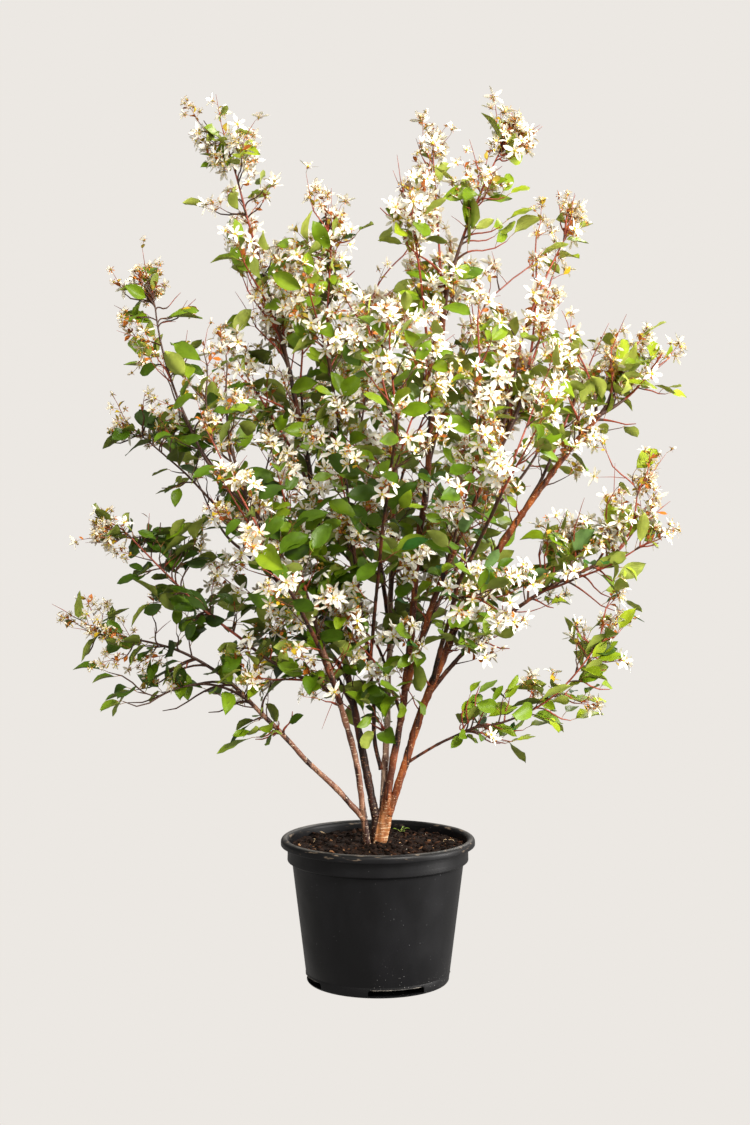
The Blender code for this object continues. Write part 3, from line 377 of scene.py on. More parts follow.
    ("low_cluster", "bough_low_right", 354, 0.119, 0.376, 0.020, 0.1, 1.0, 0.30),
    ("elbow_right", "bough_low_left", 192, 0.145, 0.384, 0.012, 0.0, 1.0, 0.25),
    ("elbow_right_up", "bough_low_left", 192, 0.121, 0.404, 0.012, 0.0, 1.0, 0.35),
    ("elbow_leaf_low", "bough_low_left", 188, 0.182, 0.364, 0.012, 0.0, 1.0, 0.55),
    ("hanging_mid", "bough_mid_right", 2, 0.353, 0.542, 0.014, 0.0, 1.0, 0.70),
    ("mid_leaf", "bough_mid_right", 2, 0.236, 0.656, 0.014, 0.0, 1.0, 0.45),
    ("mid_leaf_low", "bough_mid_right", 0, 0.212, 0.616, 0.014, 0.0, 1.0, 0.45),
    ("limb_leaf", "bough_right", 354, 0.197, 0.692, 0.014, 0.0, 1.0, 0.45),
    ("limb_spray", "bough_right", 354, 0.288, 0.776, 0.030, 0.6, 0.8, 0.50),
    ("right_end", "foliage_right", 0, 0.412, 0.911, 0.012, 0.0, 1.0, 0.75),
    ("mid_left_leaf", "foliage_mid_left", 184, 0.279, 0.852, 0.012, 0.0, 1.0, 0.45),
    ("side_leaf_mid", "foliage_side_left", 189, 0.265, 0.657, 0.012, 0.0, 1.0, 0.30),
    ("side_leaf_out", "foliage_side_left", 185, 0.338, 0.648, 0.014, 0.0, 1.0, 0.30),
    ("side_blossom_out", "foliage_side_left", 184, 0.389, 0.653, 0.034, 1.0, 0.4, 0.30),
    ("peak_blossom", "foliage_top_right", 354, 0.201, 1.186, 0.030, 1.0, 0.4, 0.70),
    ("spire_blossom", "foliage_top_left", 180, 0.200, 1.200, 0.024, 1.0, 0.4, 0.70),
    ("peak_stem", "foliage_top_right", 355, 0.112, 1.126, 0.020, 0.5, 1.0, 0.60),
    ("upper_top", "foliage_upper_right", 0, 0.260, 1.106, 0.030, 1.0, 0.4, 0.70),
    ("low_brow", "foliage_low_right", 0, 0.284, 0.502, 0.012, 0.0, 1.0, 0.35),
    ("peak_side_blossom", "foliage_top_right", 357, 0.192, 1.176, 0.030, 0.9, 0.5, 0.65),
    ("stem_leaf", "bough_top", 8, 0.069, 1.020, 0.020, 0.1, 1.0, 0.60),
    ("stem_spray", "bough_top", 349, 0.063, 0.985, 0.030, 0.6, 0.7, 0.50),
    ("shoulder_stem", "foliage_upper_right", 0, 0.252, 0.984, 0.030, 1.0, 0.5, 0.60),
    ("upper_tuft", "foliage_upper_left", 187, 0.353, 0.925, 0.030, 0.9, 0.5, 0.45),
    ("upper_tuft_low", "foliage_upper_left", 188, 0.341, 0.892, 0.014, 0.0, 1.0, 0.45),
    ("left_heart", "bough_upper_left", 194, 0.206, 0.868, 0.045, 0.5, 0.8, 0.40),
    ("left_heart_out", "foliage_upper_left", 192, 0.245, 0.835, 0.040, 0.4, 0.9, 0.40),
    ("left_heart_low", "foliage_mid_left", 194, 0.202, 0.780, 0.040, 0.5, 0.9, 0.35),
    ("mid_tuft", "foliage_mid_left", 185, 0.319, 0.770, 0.026, 0.5, 0.8, 0.35),
    ("mid_tuft_low", "foliage_mid_left", 190, 0.230, 0.704, 0.030, 0.2, 1.0, 0.35),
    ("stems_tuft", "bough_thin", 200, 0.058, 0.607, 0.030, 0.2, 1.0, 0.35),
    ("side_tuft", "foliage_side_left", 185, 0.237, 0.574, 0.030, 0.2, 1.0, 0.30),
    ("side_tuft_low", "foliage_side_left", 184, 0.275, 0.528, 0.018, 0.1, 1.0, 0.30),
    ("side_tuft_in", "foliage_side_left", 186, 0.205, 0.548, 0.034, 0.2, 1.0, 0.30),
    ("side_tuft_under", "foliage_side_left", 185, 0.223, 0.482, 0.030, 0.3, 0.9, 0.30),
    ("low_tuft", "foliage_low_left", 185, 0.336, 0.462, 0.034, 0.8, 0.6, 0.30),
    ("low_tuft_in", "foliage_low_left", 186, 0.309, 0.470, 0.026, 0.3, 1.0, 0.30),
    ("elbow_tuft", "bough_low_left", 193, 0.177, 0.458, 0.030, 0.2, 1.0, 0.35),
    ("elbow_green", "bough_low_left", 186, 0.189, 0.350, 0.014, 0.0, 1.0, 0.60),
    ("low_green", "bough_low_right", 356, 0.132, 0.422, 0.012, 0.0, 1.0, 0.45),
    ("low_hanging", "bough_low_right", 358, 0.230, 0.362, 0.014, 0.0, 1.0, 0.60),
    ("low_hanging_in", "bough_low_right", 1, 0.200, 0.336, 0.012, 0.0, 1.0, 0.40),
    ("mid_green", "bough_mid_right", 357, 0.236, 0.652, 0.018, 0.0, 1.0, 0.45),
    ("low_bloom", "foliage_low_right", 358, 0.250, 0.430, 0.020, 0.9, 0.6, 0.50),
    ("right_green", "foliage_right", 358, 0.410, 0.913, 0.014, 0.0, 1.0, 0.70),
    ("far_leaf", "foliage_low_left", 182, 0.376, 0.412, 0.012, 0.0, 1.0, 0.45),
    ("waist_leaf", "bough_top", 0, 0.088, 1.024, 0.016, 0.0, 1.0, 0.50),
    ("waist_spray", "bough_top", 0, 0.056, 1.030, 0.020, 0.5, 0.8, 0.50),
    ("peak_leaf_low", "foliage_top_right", 0, 0.206, 1.070, 0.014, 0.0, 1.0, 0.60),
    ("small_spire", "foliage_top_middle", 195, 0.108, 1.135, 0.045, 1.0, 0.4, 0.60),
    ("cloud_low", "foliage_top_middle", 190, 0.118, 1.055, 0.045, 1.0, 0.3, 0.55),
    ("upper_out", "foliage_upper_left", 190, 0.365, 0.955, 0.035, 0.6, 0.6, 0.45),
    ("upper_tip", "foliage_upper_left", 192, 0.342, 1.000, 0.022, 0.9, 0.5, 0.55),
    ("upper_in", "foliage_upper_left", 190, 0.268, 0.962, 0.045, 0.8, 0.6, 0.45),
    ("upper_under", "foliage_upper_left", 190, 0.262, 0.905, 0.045, 0.6, 0.7, 0.40),
    ("side_tip", "foliage_side_left", 187, 0.392, 0.650, 0.040, 0.5, 0.9, 0.30),
    ("side_middle", "foliage_side_left", 187, 0.345, 0.645, 0.045, 0.3, 1.0, 0.30),
    ("side_inner", "foliage_side_left", 187, 0.290, 0.640, 0.045, 0.3, 1.0, 0.30),
    ("low_far", "foliage_low_left", 184, 0.412, 0.545, 0.035, 0.6, 0.8, 0.30),
    ("low_near", "foliage_low_left", 184, 0.325, 0.440, 0.030, 0.2, 1.0, 0.30),
    ("under_far", "foliage_under_left", 186, 0.410, 0.462, 0.030, 0.3, 1.0, 0.30),
    ("heart_left", "bough_middle", 190, 0.075, 0.815, 0.060, 0.7, 0.7, 0.35),
    ("crest_out", "foliage_crest_front", 340, 0.085, 1.200, 0.035, 1.0, 0.3, 0.60),
    ("crest_right", "foliage_top_right", 355, 0.125, 1.158, 0.035, 1.0, 0.4, 0.60),
    ("crest_middle", "foliage_crest_front", 330, 0.072, 1.085, 0.040, 1.0, 0.4, 0.55),
    ("peak_out", "foliage_top_right", 358, 0.202, 1.205, 0.030, 1.0, 0.4, 0.75),
    ("upper_end", "foliage_upper_right", 350, 0.272, 1.105, 0.030, 1.0, 0.5, 0.70),
    ("inner_right", "bough_upper_right", 350, 0.185, 0.940, 0.040, 0.9, 0.5, 0.60),
    ("waist_right", "bough_upper_right", 350, 0.152, 0.880, 0.050, 0.8, 0.6, 0.50),
    ("mid_over", "bough_mid_right", 357, 0.258, 0.668, 0.040, 0.6, 0.7, 0.50),
    ("mid_end", "foliage_mid_right", 0, 0.392, 0.752, 0.030, 0.8, 0.5, 0.60),
    ("tip_end", "foliage_tip_right", 356, 0.398, 0.642, 0.035, 0.4, 0.8, 0.65),
    ("low_high", "foliage_low_right", 357, 0.278, 0.525, 0.030, 0.3, 0.9, 0.55),
    ("low_out", "foliage_low_right", 357, 0.345, 0.462, 0.028, 0.2, 1.0, 0.60),
    ("low_belly", "foliage_low_right", 356, 0.302, 0.400, 0.036, 0.2, 1.0, 0.50),
    ("right_over", "bough_right", 357, 0.262, 0.885, 0.040, 0.8, 0.6, 0.60),
    ("right_under", "foliage_mid_right", 0, 0.315, 0.778, 0.035, 0.7, 0.6, 0.60),
)

# Open places in and beside the crown, as the camera sees them in the plane through the pot's axis:
# the x and z of an ellipse's middle, and half its width and height. No twig ends there, and no leaf
# or flower stands there.
OPENINGS = np.array(
    (
        # round the left spire
        (-0.293, 1.250, 0.012, 0.012), (-0.188, 1.236, 0.018, 0.012), (-0.145, 1.232, 0.022, 0.020),
        (-0.210, 1.222, 0.010, 0.008), (-0.270, 1.215, 0.010, 0.014), (-0.274, 1.195, 0.014, 0.030),
        (-0.150, 1.184, 0.017, 0.028), (-0.262, 1.176, 0.012, 0.014), (-0.198, 1.154, 0.013, 0.013),
        (-0.232, 1.146, 0.016, 0.016), (-0.196, 1.140, 0.010, 0.012), (-0.178, 1.134, 0.008, 0.010),
        (-0.142, 1.105, 0.018, 0.036), (-0.178, 1.104, 0.010, 0.012), (-0.218, 1.101, 0.010, 0.014),
        (-0.234, 1.088, 0.022, 0.013), (-0.220, 1.087, 0.015, 0.009), (-0.146, 1.084, 0.020, 0.012),
        (-0.130, 1.068, 0.012, 0.010),
        # round the crests and the right peak
        (0.168, 1.257, 0.014, 0.008), (0.198, 1.257, 0.020, 0.010), (0.214, 1.240, 0.012, 0.018),
        (0.218, 1.232, 0.010, 0.012), (0.089, 1.230, 0.008, 0.018), (0.240, 1.222, 0.012, 0.020),
        (0.052, 1.210, 0.010, 0.012), (0.100, 1.206, 0.012, 0.010), (0.040, 1.204, 0.012, 0.012),
        (0.124, 1.204, 0.010, 0.012), (0.140, 1.192, 0.013, 0.015), (0.106, 1.186, 0.013, 0.012),
        (0.020, 1.172, 0.026, 0.028), (0.172, 1.168, 0.015, 0.012), (-0.105, 1.152, 0.014, 0.014),
        (-0.088, 1.148, 0.014, 0.008), (-0.074, 1.146, 0.010, 0.010), (0.094, 1.140, 0.010, 0.014),
        (0.286, 1.140, 0.013, 0.015), (-0.004, 1.137, 0.018, 0.018), (-0.055, 1.134, 0.011, 0.020),
        (0.284, 1.128, 0.012, 0.010), (0.304, 1.128, 0.014, 0.016), (-0.062, 1.118, 0.012, 0.012),
        (0.248, 1.114, 0.013, 0.014), (0.155, 1.112, 0.026, 0.012), (-0.034, 1.106, 0.014, 0.022),
        (-0.096, 1.102, 0.010, 0.009), (0.172, 1.102, 0.016, 0.008), (0.108, 1.098, 0.018, 0.022),
        (0.012, 1.090, 0.010, 0.012), (0.153, 1.073, 0.010, 0.010), (-0.108, 1.070, 0.012, 0.010),
        (0.296, 1.070, 0.010, 0.014),
        # the upper left
        (-0.330, 1.043, 0.014, 0.009), (-0.354, 1.037, 0.016, 0.016), (-0.278, 1.035, 0.032, 0.050),
        (-0.362, 1.024, 0.014, 0.012), (-0.224, 1.019, 0.012, 0.013), (-0.182, 1.004, 0.014, 0.010),
        (-0.224, 1.000, 0.022, 0.011), (-0.200, 0.992, 0.022, 0.020), (-0.372, 0.985, 0.012, 0.014),
        (-0.252, 0.980, 0.018, 0.010), (-0.296, 0.978, 0.018, 0.010), (-0.276, 0.976, 0.012, 0.010),
        (-0.184, 0.968, 0.014, 0.012), (-0.318, 0.967, 0.012, 0.012), (-0.288, 0.962, 0.016, 0.010),
        (-0.214, 0.957, 0.020, 0.012), (-0.415, 0.955, 0.030, 0.040), (-0.383, 0.955, 0.014, 0.022),
        (-0.306, 0.948, 0.024, 0.015), (-0.258, 0.940, 0.018, 0.009), (-0.374, 0.934, 0.012, 0.012),
        (-0.178, 0.932, 0.012, 0.018), (-0.285, 0.930, 0.018, 0.010), (-0.126, 0.893, 0.032, 0.009),
        (-0.256, 0.892, 0.012, 0.015), (-0.304, 0.884, 0.012, 0.012), (-0.128, 0.883, 0.028, 0.008),
        (-0.320, 0.872, 0.014, 0.010),
        # the upper right
        (0.147, 1.058, 0.016, 0.014), (0.236, 1.058, 0.012, 0.012), (0.215, 1.052, 0.014, 0.012),
        (0.160, 1.045, 0.014, 0.010), (0.192, 1.022, 0.022, 0.040), (0.284, 1.010, 0.018, 0.016),
        (0.252, 1.006, 0.010, 0.012), (0.160, 1.001, 0.014, 0.012), (0.262, 1.000, 0.014, 0.012),
        (0.185, 0.987, 0.028, 0.014), (0.206, 0.977, 0.012, 0.014), (0.272, 0.975, 0.011, 0.010),
        (0.322, 0.958, 0.046, 0.024), (0.262, 0.956, 0.012, 0.012), (0.315, 0.940, 0.030, 0.010),
        (0.442, 0.935, 0.014, 0.016), (0.220, 0.911, 0.020, 0.010), (0.304, 0.896, 0.018, 0.011),
        (0.404, 0.889, 0.016, 0.010), (0.428, 0.880, 0.026, 0.016),
        # the heart of the crown
        (-0.012, 1.054, 0.012, 0.012), (0.088, 1.052, 0.012, 0.010), (0.022, 1.042, 0.030, 0.012),
        (0.072, 1.038, 0.012, 0.008), (-0.028, 1.010, 0.020, 0.010), (0.036, 1.008, 0.010, 0.009),
        (0.002, 1.000, 0.034, 0.013), (0.106, 0.938, 0.015, 0.026), (0.050, 0.803, 0.026, 0.015),
        (-0.010, 0.797, 0.010, 0.010), (0.000, 0.795, 0.016, 0.012),
        # the left side
        (-0.345, 0.856, 0.028, 0.012), (-0.300, 0.856, 0.024, 0.018), (-0.394, 0.842, 0.014, 0.012),
        (-0.381, 0.835, 0.014, 0.009), (-0.266, 0.826, 0.020, 0.012), (-0.400, 0.822, 0.014, 0.012),
        (-0.386, 0.812, 0.012, 0.012), (-0.414, 0.780, 0.018, 0.014), (-0.355, 0.762, 0.014, 0.016),
        (-0.174, 0.757, 0.024, 0.014), (-0.410, 0.756, 0.012, 0.010), (-0.206, 0.752, 0.042, 0.013),
        (-0.385, 0.751, 0.014, 0.010), (-0.170, 0.750, 0.016, 0.014), (-0.340, 0.748, 0.036, 0.013),
        (-0.240, 0.713, 0.014, 0.016), (-0.262, 0.706, 0.022, 0.016), (-0.374, 0.702, 0.020, 0.014),
        (-0.402, 0.698, 0.010, 0.008), (-0.262, 0.690, 0.024, 0.010), (-0.332, 0.684, 0.022, 0.007),
        (-0.428, 0.670, 0.016, 0.014), (-0.326, 0.668, 0.014, 0.010), (-0.292, 0.664, 0.011, 0.010),
        (-0.419, 0.655, 0.012, 0.015), (-0.421, 0.632, 0.012, 0.012), (-0.218, 0.632, 0.022, 0.014),
        (-0.240, 0.630, 0.010, 0.012), (-0.404, 0.622, 0.012, 0.010), (-0.385, 0.605, 0.016, 0.010),
        # the right side
        (0.400, 0.834, 0.012, 0.012), (0.322, 0.822, 0.014, 0.009), (0.367, 0.817, 0.010, 0.008),
        (0.384, 0.812, 0.011, 0.012), (0.408, 0.795, 0.032, 0.026), (0.198, 0.783, 0.018, 0.011),
        (0.342, 0.772, 0.024, 0.014), (0.315, 0.754, 0.032, 0.010), (0.424, 0.752, 0.016, 0.014),
        (0.330, 0.735, 0.012, 0.010), (0.343, 0.724, 0.014, 0.011), (0.404, 0.724, 0.011, 0.020),
        (0.350, 0.723, 0.013, 0.010), (0.222, 0.722, 0.018, 0.028), (0.290, 0.712, 0.046, 0.016),
        (0.430, 0.702, 0.026, 0.022), (0.285, 0.691, 0.014, 0.008), (0.205, 0.686, 0.016, 0.016),
        (0.256, 0.684, 0.026, 0.010), (0.303, 0.684, 0.017, 0.015), (0.432, 0.664, 0.009, 0.014),
        (0.212, 0.640, 0.010, 0.016), (0.226, 0.616, 0.012, 0.014), (0.380, 0.616, 0.020, 0.016),
        (0.372, 0.603, 0.012, 0.010),
        # the lower left
        (-0.322, 0.600, 0.014, 0.008), (-0.262, 0.590, 0.022, 0.012), (-0.257, 0.584, 0.022, 0.014),
        (-0.176, 0.583, 0.016, 0.013), (-0.418, 0.567, 0.014, 0.011), (-0.384, 0.560, 0.016, 0.009),
        (-0.368, 0.547, 0.014, 0.012), (-0.450, 0.546, 0.014, 0.010), (-0.340, 0.539, 0.012, 0.008),
        (-0.335, 0.518, 0.024, 0.010), (-0.300, 0.515, 0.016, 0.022), (-0.437, 0.509, 0.010, 0.008),
        (-0.310, 0.508, 0.016, 0.015), (-0.446, 0.498, 0.014, 0.014), (-0.428, 0.496, 0.014, 0.010),
        (-0.252, 0.484, 0.020, 0.014), (-0.292, 0.468, 0.022, 0.010), (-0.260, 0.464, 0.018, 0.018),
        (-0.457, 0.462, 0.010, 0.014), (-0.262, 0.448, 0.016, 0.010), (-0.354, 0.438, 0.018, 0.011),
        (-0.350, 0.428, 0.010, 0.010), (-0.262, 0.424, 0.012, 0.013), (-0.124, 0.420, 0.016, 0.014),
        (-0.148, 0.414, 0.010, 0.010), (-0.430, 0.405, 0.025, 0.040), (-0.304, 0.402, 0.011, 0.020),
        (-0.256, 0.396, 0.014, 0.012), (-0.126, 0.388, 0.012, 0.010), (-0.338, 0.386, 0.026, 0.012),
        (-0.222, 0.386, 0.018, 0.010), (-0.217, 0.378, 0.012, 0.014), (-0.272, 0.362, 0.042, 0.032),
        (-0.228, 0.350, 0.012, 0.012), (-0.190, 0.322, 0.050, 0.018),
        # the lower right
        (0.310, 0.580, 0.026, 0.020), (0.262, 0.567, 0.013, 0.008), (0.396, 0.560, 0.018, 0.030),
        (0.314, 0.552, 0.016, 0.016), (0.300, 0.548, 0.016, 0.016), (0.211, 0.541, 0.020, 0.018),
        (0.304, 0.523, 0.012, 0.010), (0.366, 0.502, 0.020, 0.022), (0.318, 0.500, 0.010, 0.010),
        (0.183, 0.494, 0.011, 0.010), (0.200, 0.490, 0.014, 0.012), (0.366, 0.470, 0.010, 0.010),
        (0.250, 0.465, 0.030, 0.017), (0.192, 0.462, 0.022, 0.018), (0.276, 0.452, 0.016, 0.020),
        (0.150, 0.446, 0.018, 0.011), (0.170, 0.402, 0.012, 0.010), (0.372, 0.398, 0.028, 0.028),
        (0.168, 0.388, 0.010, 0.010), (0.162, 0.336, 0.018, 0.014), (0.130, 0.322, 0.050, 0.011),
        # among the stems
        (0.003, 0.570, 0.026, 0.022), (0.008, 0.516, 0.010, 0.012), (0.075, 0.476, 0.015, 0.014),
        (0.008, 0.474, 0.030, 0.015), (0.080, 0.440, 0.016, 0.022), (0.104, 0.430, 0.016, 0.016),
        (-0.056, 0.404, 0.014, 0.013), (0.112, 0.404, 0.012, 0.010), (-0.112, 0.402, 0.012, 0.010),
        (-0.070, 0.402, 0.010, 0.010), (-0.082, 0.372, 0.030, 0.036), (-0.004, 0.360, 0.012, 0.012),
        (0.095, 0.350, 0.015, 0.011),
    )
)

# The solids' rule for foliage stems and their side twigs
TIP_LEAF = 0.070  # a stem ends this far short of its mass's tip
LEADER_MOST_RADIUS = 0.0030
LEADER_TIP_RADIUS = 0.0011
LEADER_SIDE_SHARE = 0.75
LEADER_BEND = 0.45
TWIG_STEP = 0.060
TWIG_LEAST = 3
TWIG_FROM = 0.12
TWIG_TO = 0.92
TWIG_LEANS = (62, 38)  # degrees from the stem, at its foot and at its tip
TWIG_LIFT = 0.15
TWIG_TURN_CHANCE = 0.4
TWIG_SHORTEST = 0.75
TWIG_TIP_SHARE = 0.5

# What the scene adds to that rule. Lengths are in metres.
TWIG_SHARE = 0.80  # of the girth, because a spray of leaves or blossom follows each twig
TWIG_SIDES = 5
STEM_SIDES = 7
STEM_STEP = 0.012  # between the places for leaves on a mass's stem
STEM_DARK = 0.45  # of it has old bark
SHOOT_LENGTH = 0.038  # the young shoot that carries a stem on to its mass's tip
SHORT_SHARE = 0.6  # of a short sprig that may be its shoot
SPRIG_LEAN = 0.55  # the cosine of the angle at which a sprig leaves its limb
SLIM_GIRTH = 0.038  # a sprig slimmer than this has a leaf or two
FINE_AREA = 0.0040  # of a mass, its stem's length times its girth, for each finer twig
FINE_LENGTHS = (0.25, 0.60)  # of the mass's girth
FINE_LEANS = (68, 42)  # degrees from the stem, at its foot and at its tip
BUD_STEP = 0.015
BUD_SWAY = 0.16  # how far a twig turns aside at each bud
TWIG_RISE = 0.06  # how far it turns up at each bud
TWIG_RADIUS = 0.00115
TWIG_END_RADIUS = 0.00055
SPUR_STEP = 0.024  # between the spurs along a limb
SPUR_LENGTHS = (0.022, 0.070)
SPUR_SPRAY = (0.45, 0.75, 0.35)  # its bloom, leafy and light
SPUR_HEIGHT = 0.375  # limbs are bare below it
SPUR_SHARE = 0.64  # unless it is this far along them
LEAF_LENGTHS = (0.028, 0.055)
LEAF_BREADTHS = (0.42, 0.60)  # of its length
LEAF_THICKNESS = 0.0005
LEAF_ROWS = 6
PETIOLE_LENGTHS = (0.006, 0.015)
PETIOLE_RADIUS = 0.00048
RACEME_LENGTHS = (0.020, 0.042)
FLOWERS = (3, 6)  # in one raceme
PEDICEL_LENGTHS = (0.007, 0.015)
PEDICEL_RADIUS = 0.00034
PETAL_LENGTH = 0.0135
PETAL_BREADTH = 0.0050
FLOWER_SIZES = (0.80, 1.22)
FADED_SIZES = (0.45, 0.85)
BRACT_LENGTHS = (0.007, 0.016)
LIMB_CLEAR = 0.003  # how far leaves and flowers keep off the limbs
SAMPLE_STEP = 0.004  # between the places along the limbs that they keep off
BOX_CLEAR = 0.004  # how far a leaf's tip may stand outside the solids' box
TWIG_ROOM = 0.016  # for the leaves past a twig's end
BUD_LEAVES = 0.8  # chance of a leaf at a bud, times how leafy its mass is
BUD_RACEMES = 0.25  # chance of a raceme at a bud without a leaf, times its mass's bloom
END_RACEMES = 0.95  # chance of a raceme at a twig's end, times its mass's bloom
END_LEAVES = 0.35  # chance of a leaf beside that raceme
RED_SHARE = 0.45  # of the twigs are red young shoots
DARK_RED_SHARE = 0.10  # of them, at the dark left side
DARK_SIDE = -0.16  # which is left of here
BRONZE_SHARE = 0.55  # of the bracts

MOST_TRIANGLES = 190_000  # in one piece


def srgb(red, green, blue):
    """A linear colour from the 0 to 255 values that a screen shows."""
    return tuple(((c / 255 + 0.055) / 1.055) ** 2.4 if c > 10 else c / 3295 for c in (red, green, blue))


def tinted(colour, factor):
    return tuple(min(1.0, c * factor) for c in colour)


# Materials


def add_node(tree, kind, inputs, **settings):
    """A shader node with its settings, whose inputs are set to values or linked to other outputs."""
    node = tree.nodes.new("ShaderNode" + kind)
    for name, value in settings.items():
        setattr(node, name, value)
    for name, value in inputs.items():
        if isinstance(value, bpy.types.NodeSocket):
            tree.links.new(value, node.inputs[name])
        else:
            node.inputs[name].default_value = value
    return node


class Paint:
    """A Principled material whose colour, roughness and bump come from procedural patterns."""

    def __init__(self, name, colour, roughness, specular):
        self.material = bpy.data.materials.new(name)
        self.material.use_nodes = True
        self.tree = self.material.node_tree
        self.shader = self.tree.nodes["Principled BSDF"]
        self.shader.inputs["Base Color"].default_value = (*colour, 1)
        self.shader.inputs["Roughness"].default_value = roughness
        self.shader.inputs["Specular IOR Level"].default_value = specular
        self.place = self.add("TexCoord", {}).outputs["Object"]
        self.colour = (*colour, 1)

    def add(self, kind, inputs, **settings):
        return add_node(self.tree, kind, inputs, **settings)

    def noise(self, scale, detail, stretch=(1, 1, 1)):
        """A noise pattern, from 0 to 1, over the piece's own space."""
        place = self.add("Mapping", {"Scale": stretch, "Vector": self.place}).outputs["Vector"]
        return self.add("TexNoise", {"Scale": scale, "Detail": detail, "Vector": place}).outputs["Fac"]

    def specks(self, scale, size):
        """Small round spots scattered over the piece's own space, 1 inside and 0 outside."""
        cells = self.add("TexVoronoi", {"Scale": scale, "Vector": self.place})
        return self.ramp(cells.outputs["Distance"], size, size * 0.6)

    def ramp(self, value, low, high):
        """The value stretched so that low becomes 0 and high becomes 1."""
        return self.add("MapRange", {"From Min": low, "From Max": high, "Value": value}).outputs["Result"]

    def height(self, low, high):
        """0 below the low height and 1 above the high one."""
        return self.ramp(self.add("SeparateXYZ", {"Vector": self.place}).outputs["Z"], low, high)

    def side(self, across, low, high):
        """0 below the low place and 1 above the high one, measured across the piece."""
        dot = self.add("VectorMath", {0: self.place, 1: across}, operation="DOT_PRODUCT")
        return self.ramp(dot.outputs["Value"], low, high)

    def times(self, one, other):
        return self.add("Math", {0: one, 1: other}, operation="MULTIPLY").outputs[0]

    def blend(self, mask, colour):
        """Lays a colour over what is there, where the mask is 1."""
        mix = self.add("Mix", {"A": self.colour, "B": (*colour, 1), "Factor": mask}, data_type="RGBA")
        self.colour = mix.outputs["Result"]
        self.tree.links.new(self.colour, self.shader.inputs["Base Color"])

    def rough(self, mask, low, high):
        """Roughness from low to high with the mask."""
        spread = self.add("MapRange", {"To Min": low, "To Max": high, "Value": mask})
        self.tree.links.new(spread.outputs["Result"], self.shader.inputs["Roughness"])

    def bump(self, height, distance, strength):
        node = self.add("Bump", {"Strength": strength, "Distance": distance, "Height": height})
        self.tree.links.new(node.outputs["Normal"], self.shader.inputs["Normal"])


def leaf_paint(name, colour, roughness):
    """A leaf's surface: softly mottled, with a faint grain."""
    paint = Paint(name, colour, roughness, 0.28)
    paint.blend(paint.ramp(paint.noise(90, 3), 0.42, 0.62), tinted(colour, 0.78))
    paint.blend(paint.ramp(paint.noise(45, 2), 0.55, 0.75), tinted(colour, 1.22))
    paint.bump(paint.noise(160, 3), 0.0006, 0.25)
    return paint.material


def petal_paint(name, colour):
    paint = Paint(name, colour, 0.6, 0.3)
    paint.blend(paint.ramp(paint.noise(120, 2), 0.5, 0.75), tinted(colour, 0.93))
    return paint.material


def bark_paint(name, colour, streak_and_highlight, dark, pale, foot=None):
    """Smooth young bark: light and dark streaks that run up the limb, partly painted highlight and shade,
    and short pale marks across it.
    """
    paint = Paint(name, colour, 0.45, 0.35)
    # Lighter streaks, partly painted highlights, then dark ones, partly painted shade
    paint.blend(paint.ramp(paint.noise(75, 3, (1, 1, 0.22)), 0.46, 0.62), streak_and_highlight)
    paint.blend(paint.ramp(paint.noise(95, 4, (1, 1, 0.16)), 0.52, 0.62), dark)
    if foot:
        shades = paint.ramp(paint.noise(90, 3, (1, 1, 0.4)), 0.40, 0.60)
        paint.blend(paint.times(paint.height(0.262, 0.222), shades), foot)
        rings = paint.ramp(paint.noise(60, 2, (0.5, 0.5, 9)), 0.56, 0.64)
        paint.blend(paint.times(paint.height(0.236, 0.226), rings), pale)
        # The trunk's left side painted dark: partly the dark bough's bark and partly painted shade
        paint.blend(paint.side((-1, 0, 0.2), 0.0446, 0.0462), tinted(dark, 1.3))
    paint.blend(paint.ramp(paint.noise(150, 2, (1, 1, 3.5)), 0.64, 0.70), pale)
    paint.blend(paint.specks(240, 0.15), tinted(pale, 1.1))
    paint.rough(paint.noise(90, 3), 0.34, 0.60)
    paint.bump(paint.noise(170, 4, (1, 1, 1.6)), 0.0012, 0.8)
    return paint.material


# The shades of each bark: its skin, streaks that are partly painted highlights, cracks that are
# partly painted shade, pale marks, and its orange foot
BARK_SHADES = {
    "brown": ((84, 42, 26), (148, 76, 36), (26, 14, 10), (176, 136, 104)),
    "tan": ((116, 76, 58), (158, 114, 88), (52, 28, 20), (206, 184, 160)),
    # dark: nearly black, partly the upper left bough's own bark and partly painted shade
    "dark": ((46, 24, 16), (96, 48, 26), (26, 14, 10), (140, 98, 70)),
    "light": ((132, 100, 80), (184, 160, 138), (76, 46, 32), (206, 190, 168)),
    "orange": ((110, 54, 26), (164, 88, 38), (48, 22, 12), (206, 160, 120)),
    "young": ((58, 30, 20), (112, 58, 34), (26, 14, 10), (132, 96, 72)),
    "foot": ((112, 62, 34), (154, 94, 54), (40, 22, 15), (216, 184, 148), (176, 116, 70)),
}
# The bark of the limbs that aren't brown, or young where they are thin
BARKS = {
    "side_stem": "tan",
    "bough_low_left": "tan",
    # nearly black bark: partly its own colour and partly painted shade
    "bough_upper_left": "dark",
    "bough_middle": "light",
    "bough_right": "orange",
}


def bark_paints():
    """A paint for each kind of bark."""
    paints = {}
    for kind, shades in BARK_SHADES.items():
        paints[kind] = bark_paint("bark_" + kind, *[srgb(*shade) for shade in shades])
    return paints


def twig_paint(name, colour):
    paint = Paint(name, colour, 0.45, 0.4)
    paint.blend(paint.ramp(paint.noise(140, 3), 0.45, 0.7), tinted(colour, 1.5))
    paint.bump(paint.noise(500, 2), 0.0003, 0.5)
    return paint.material


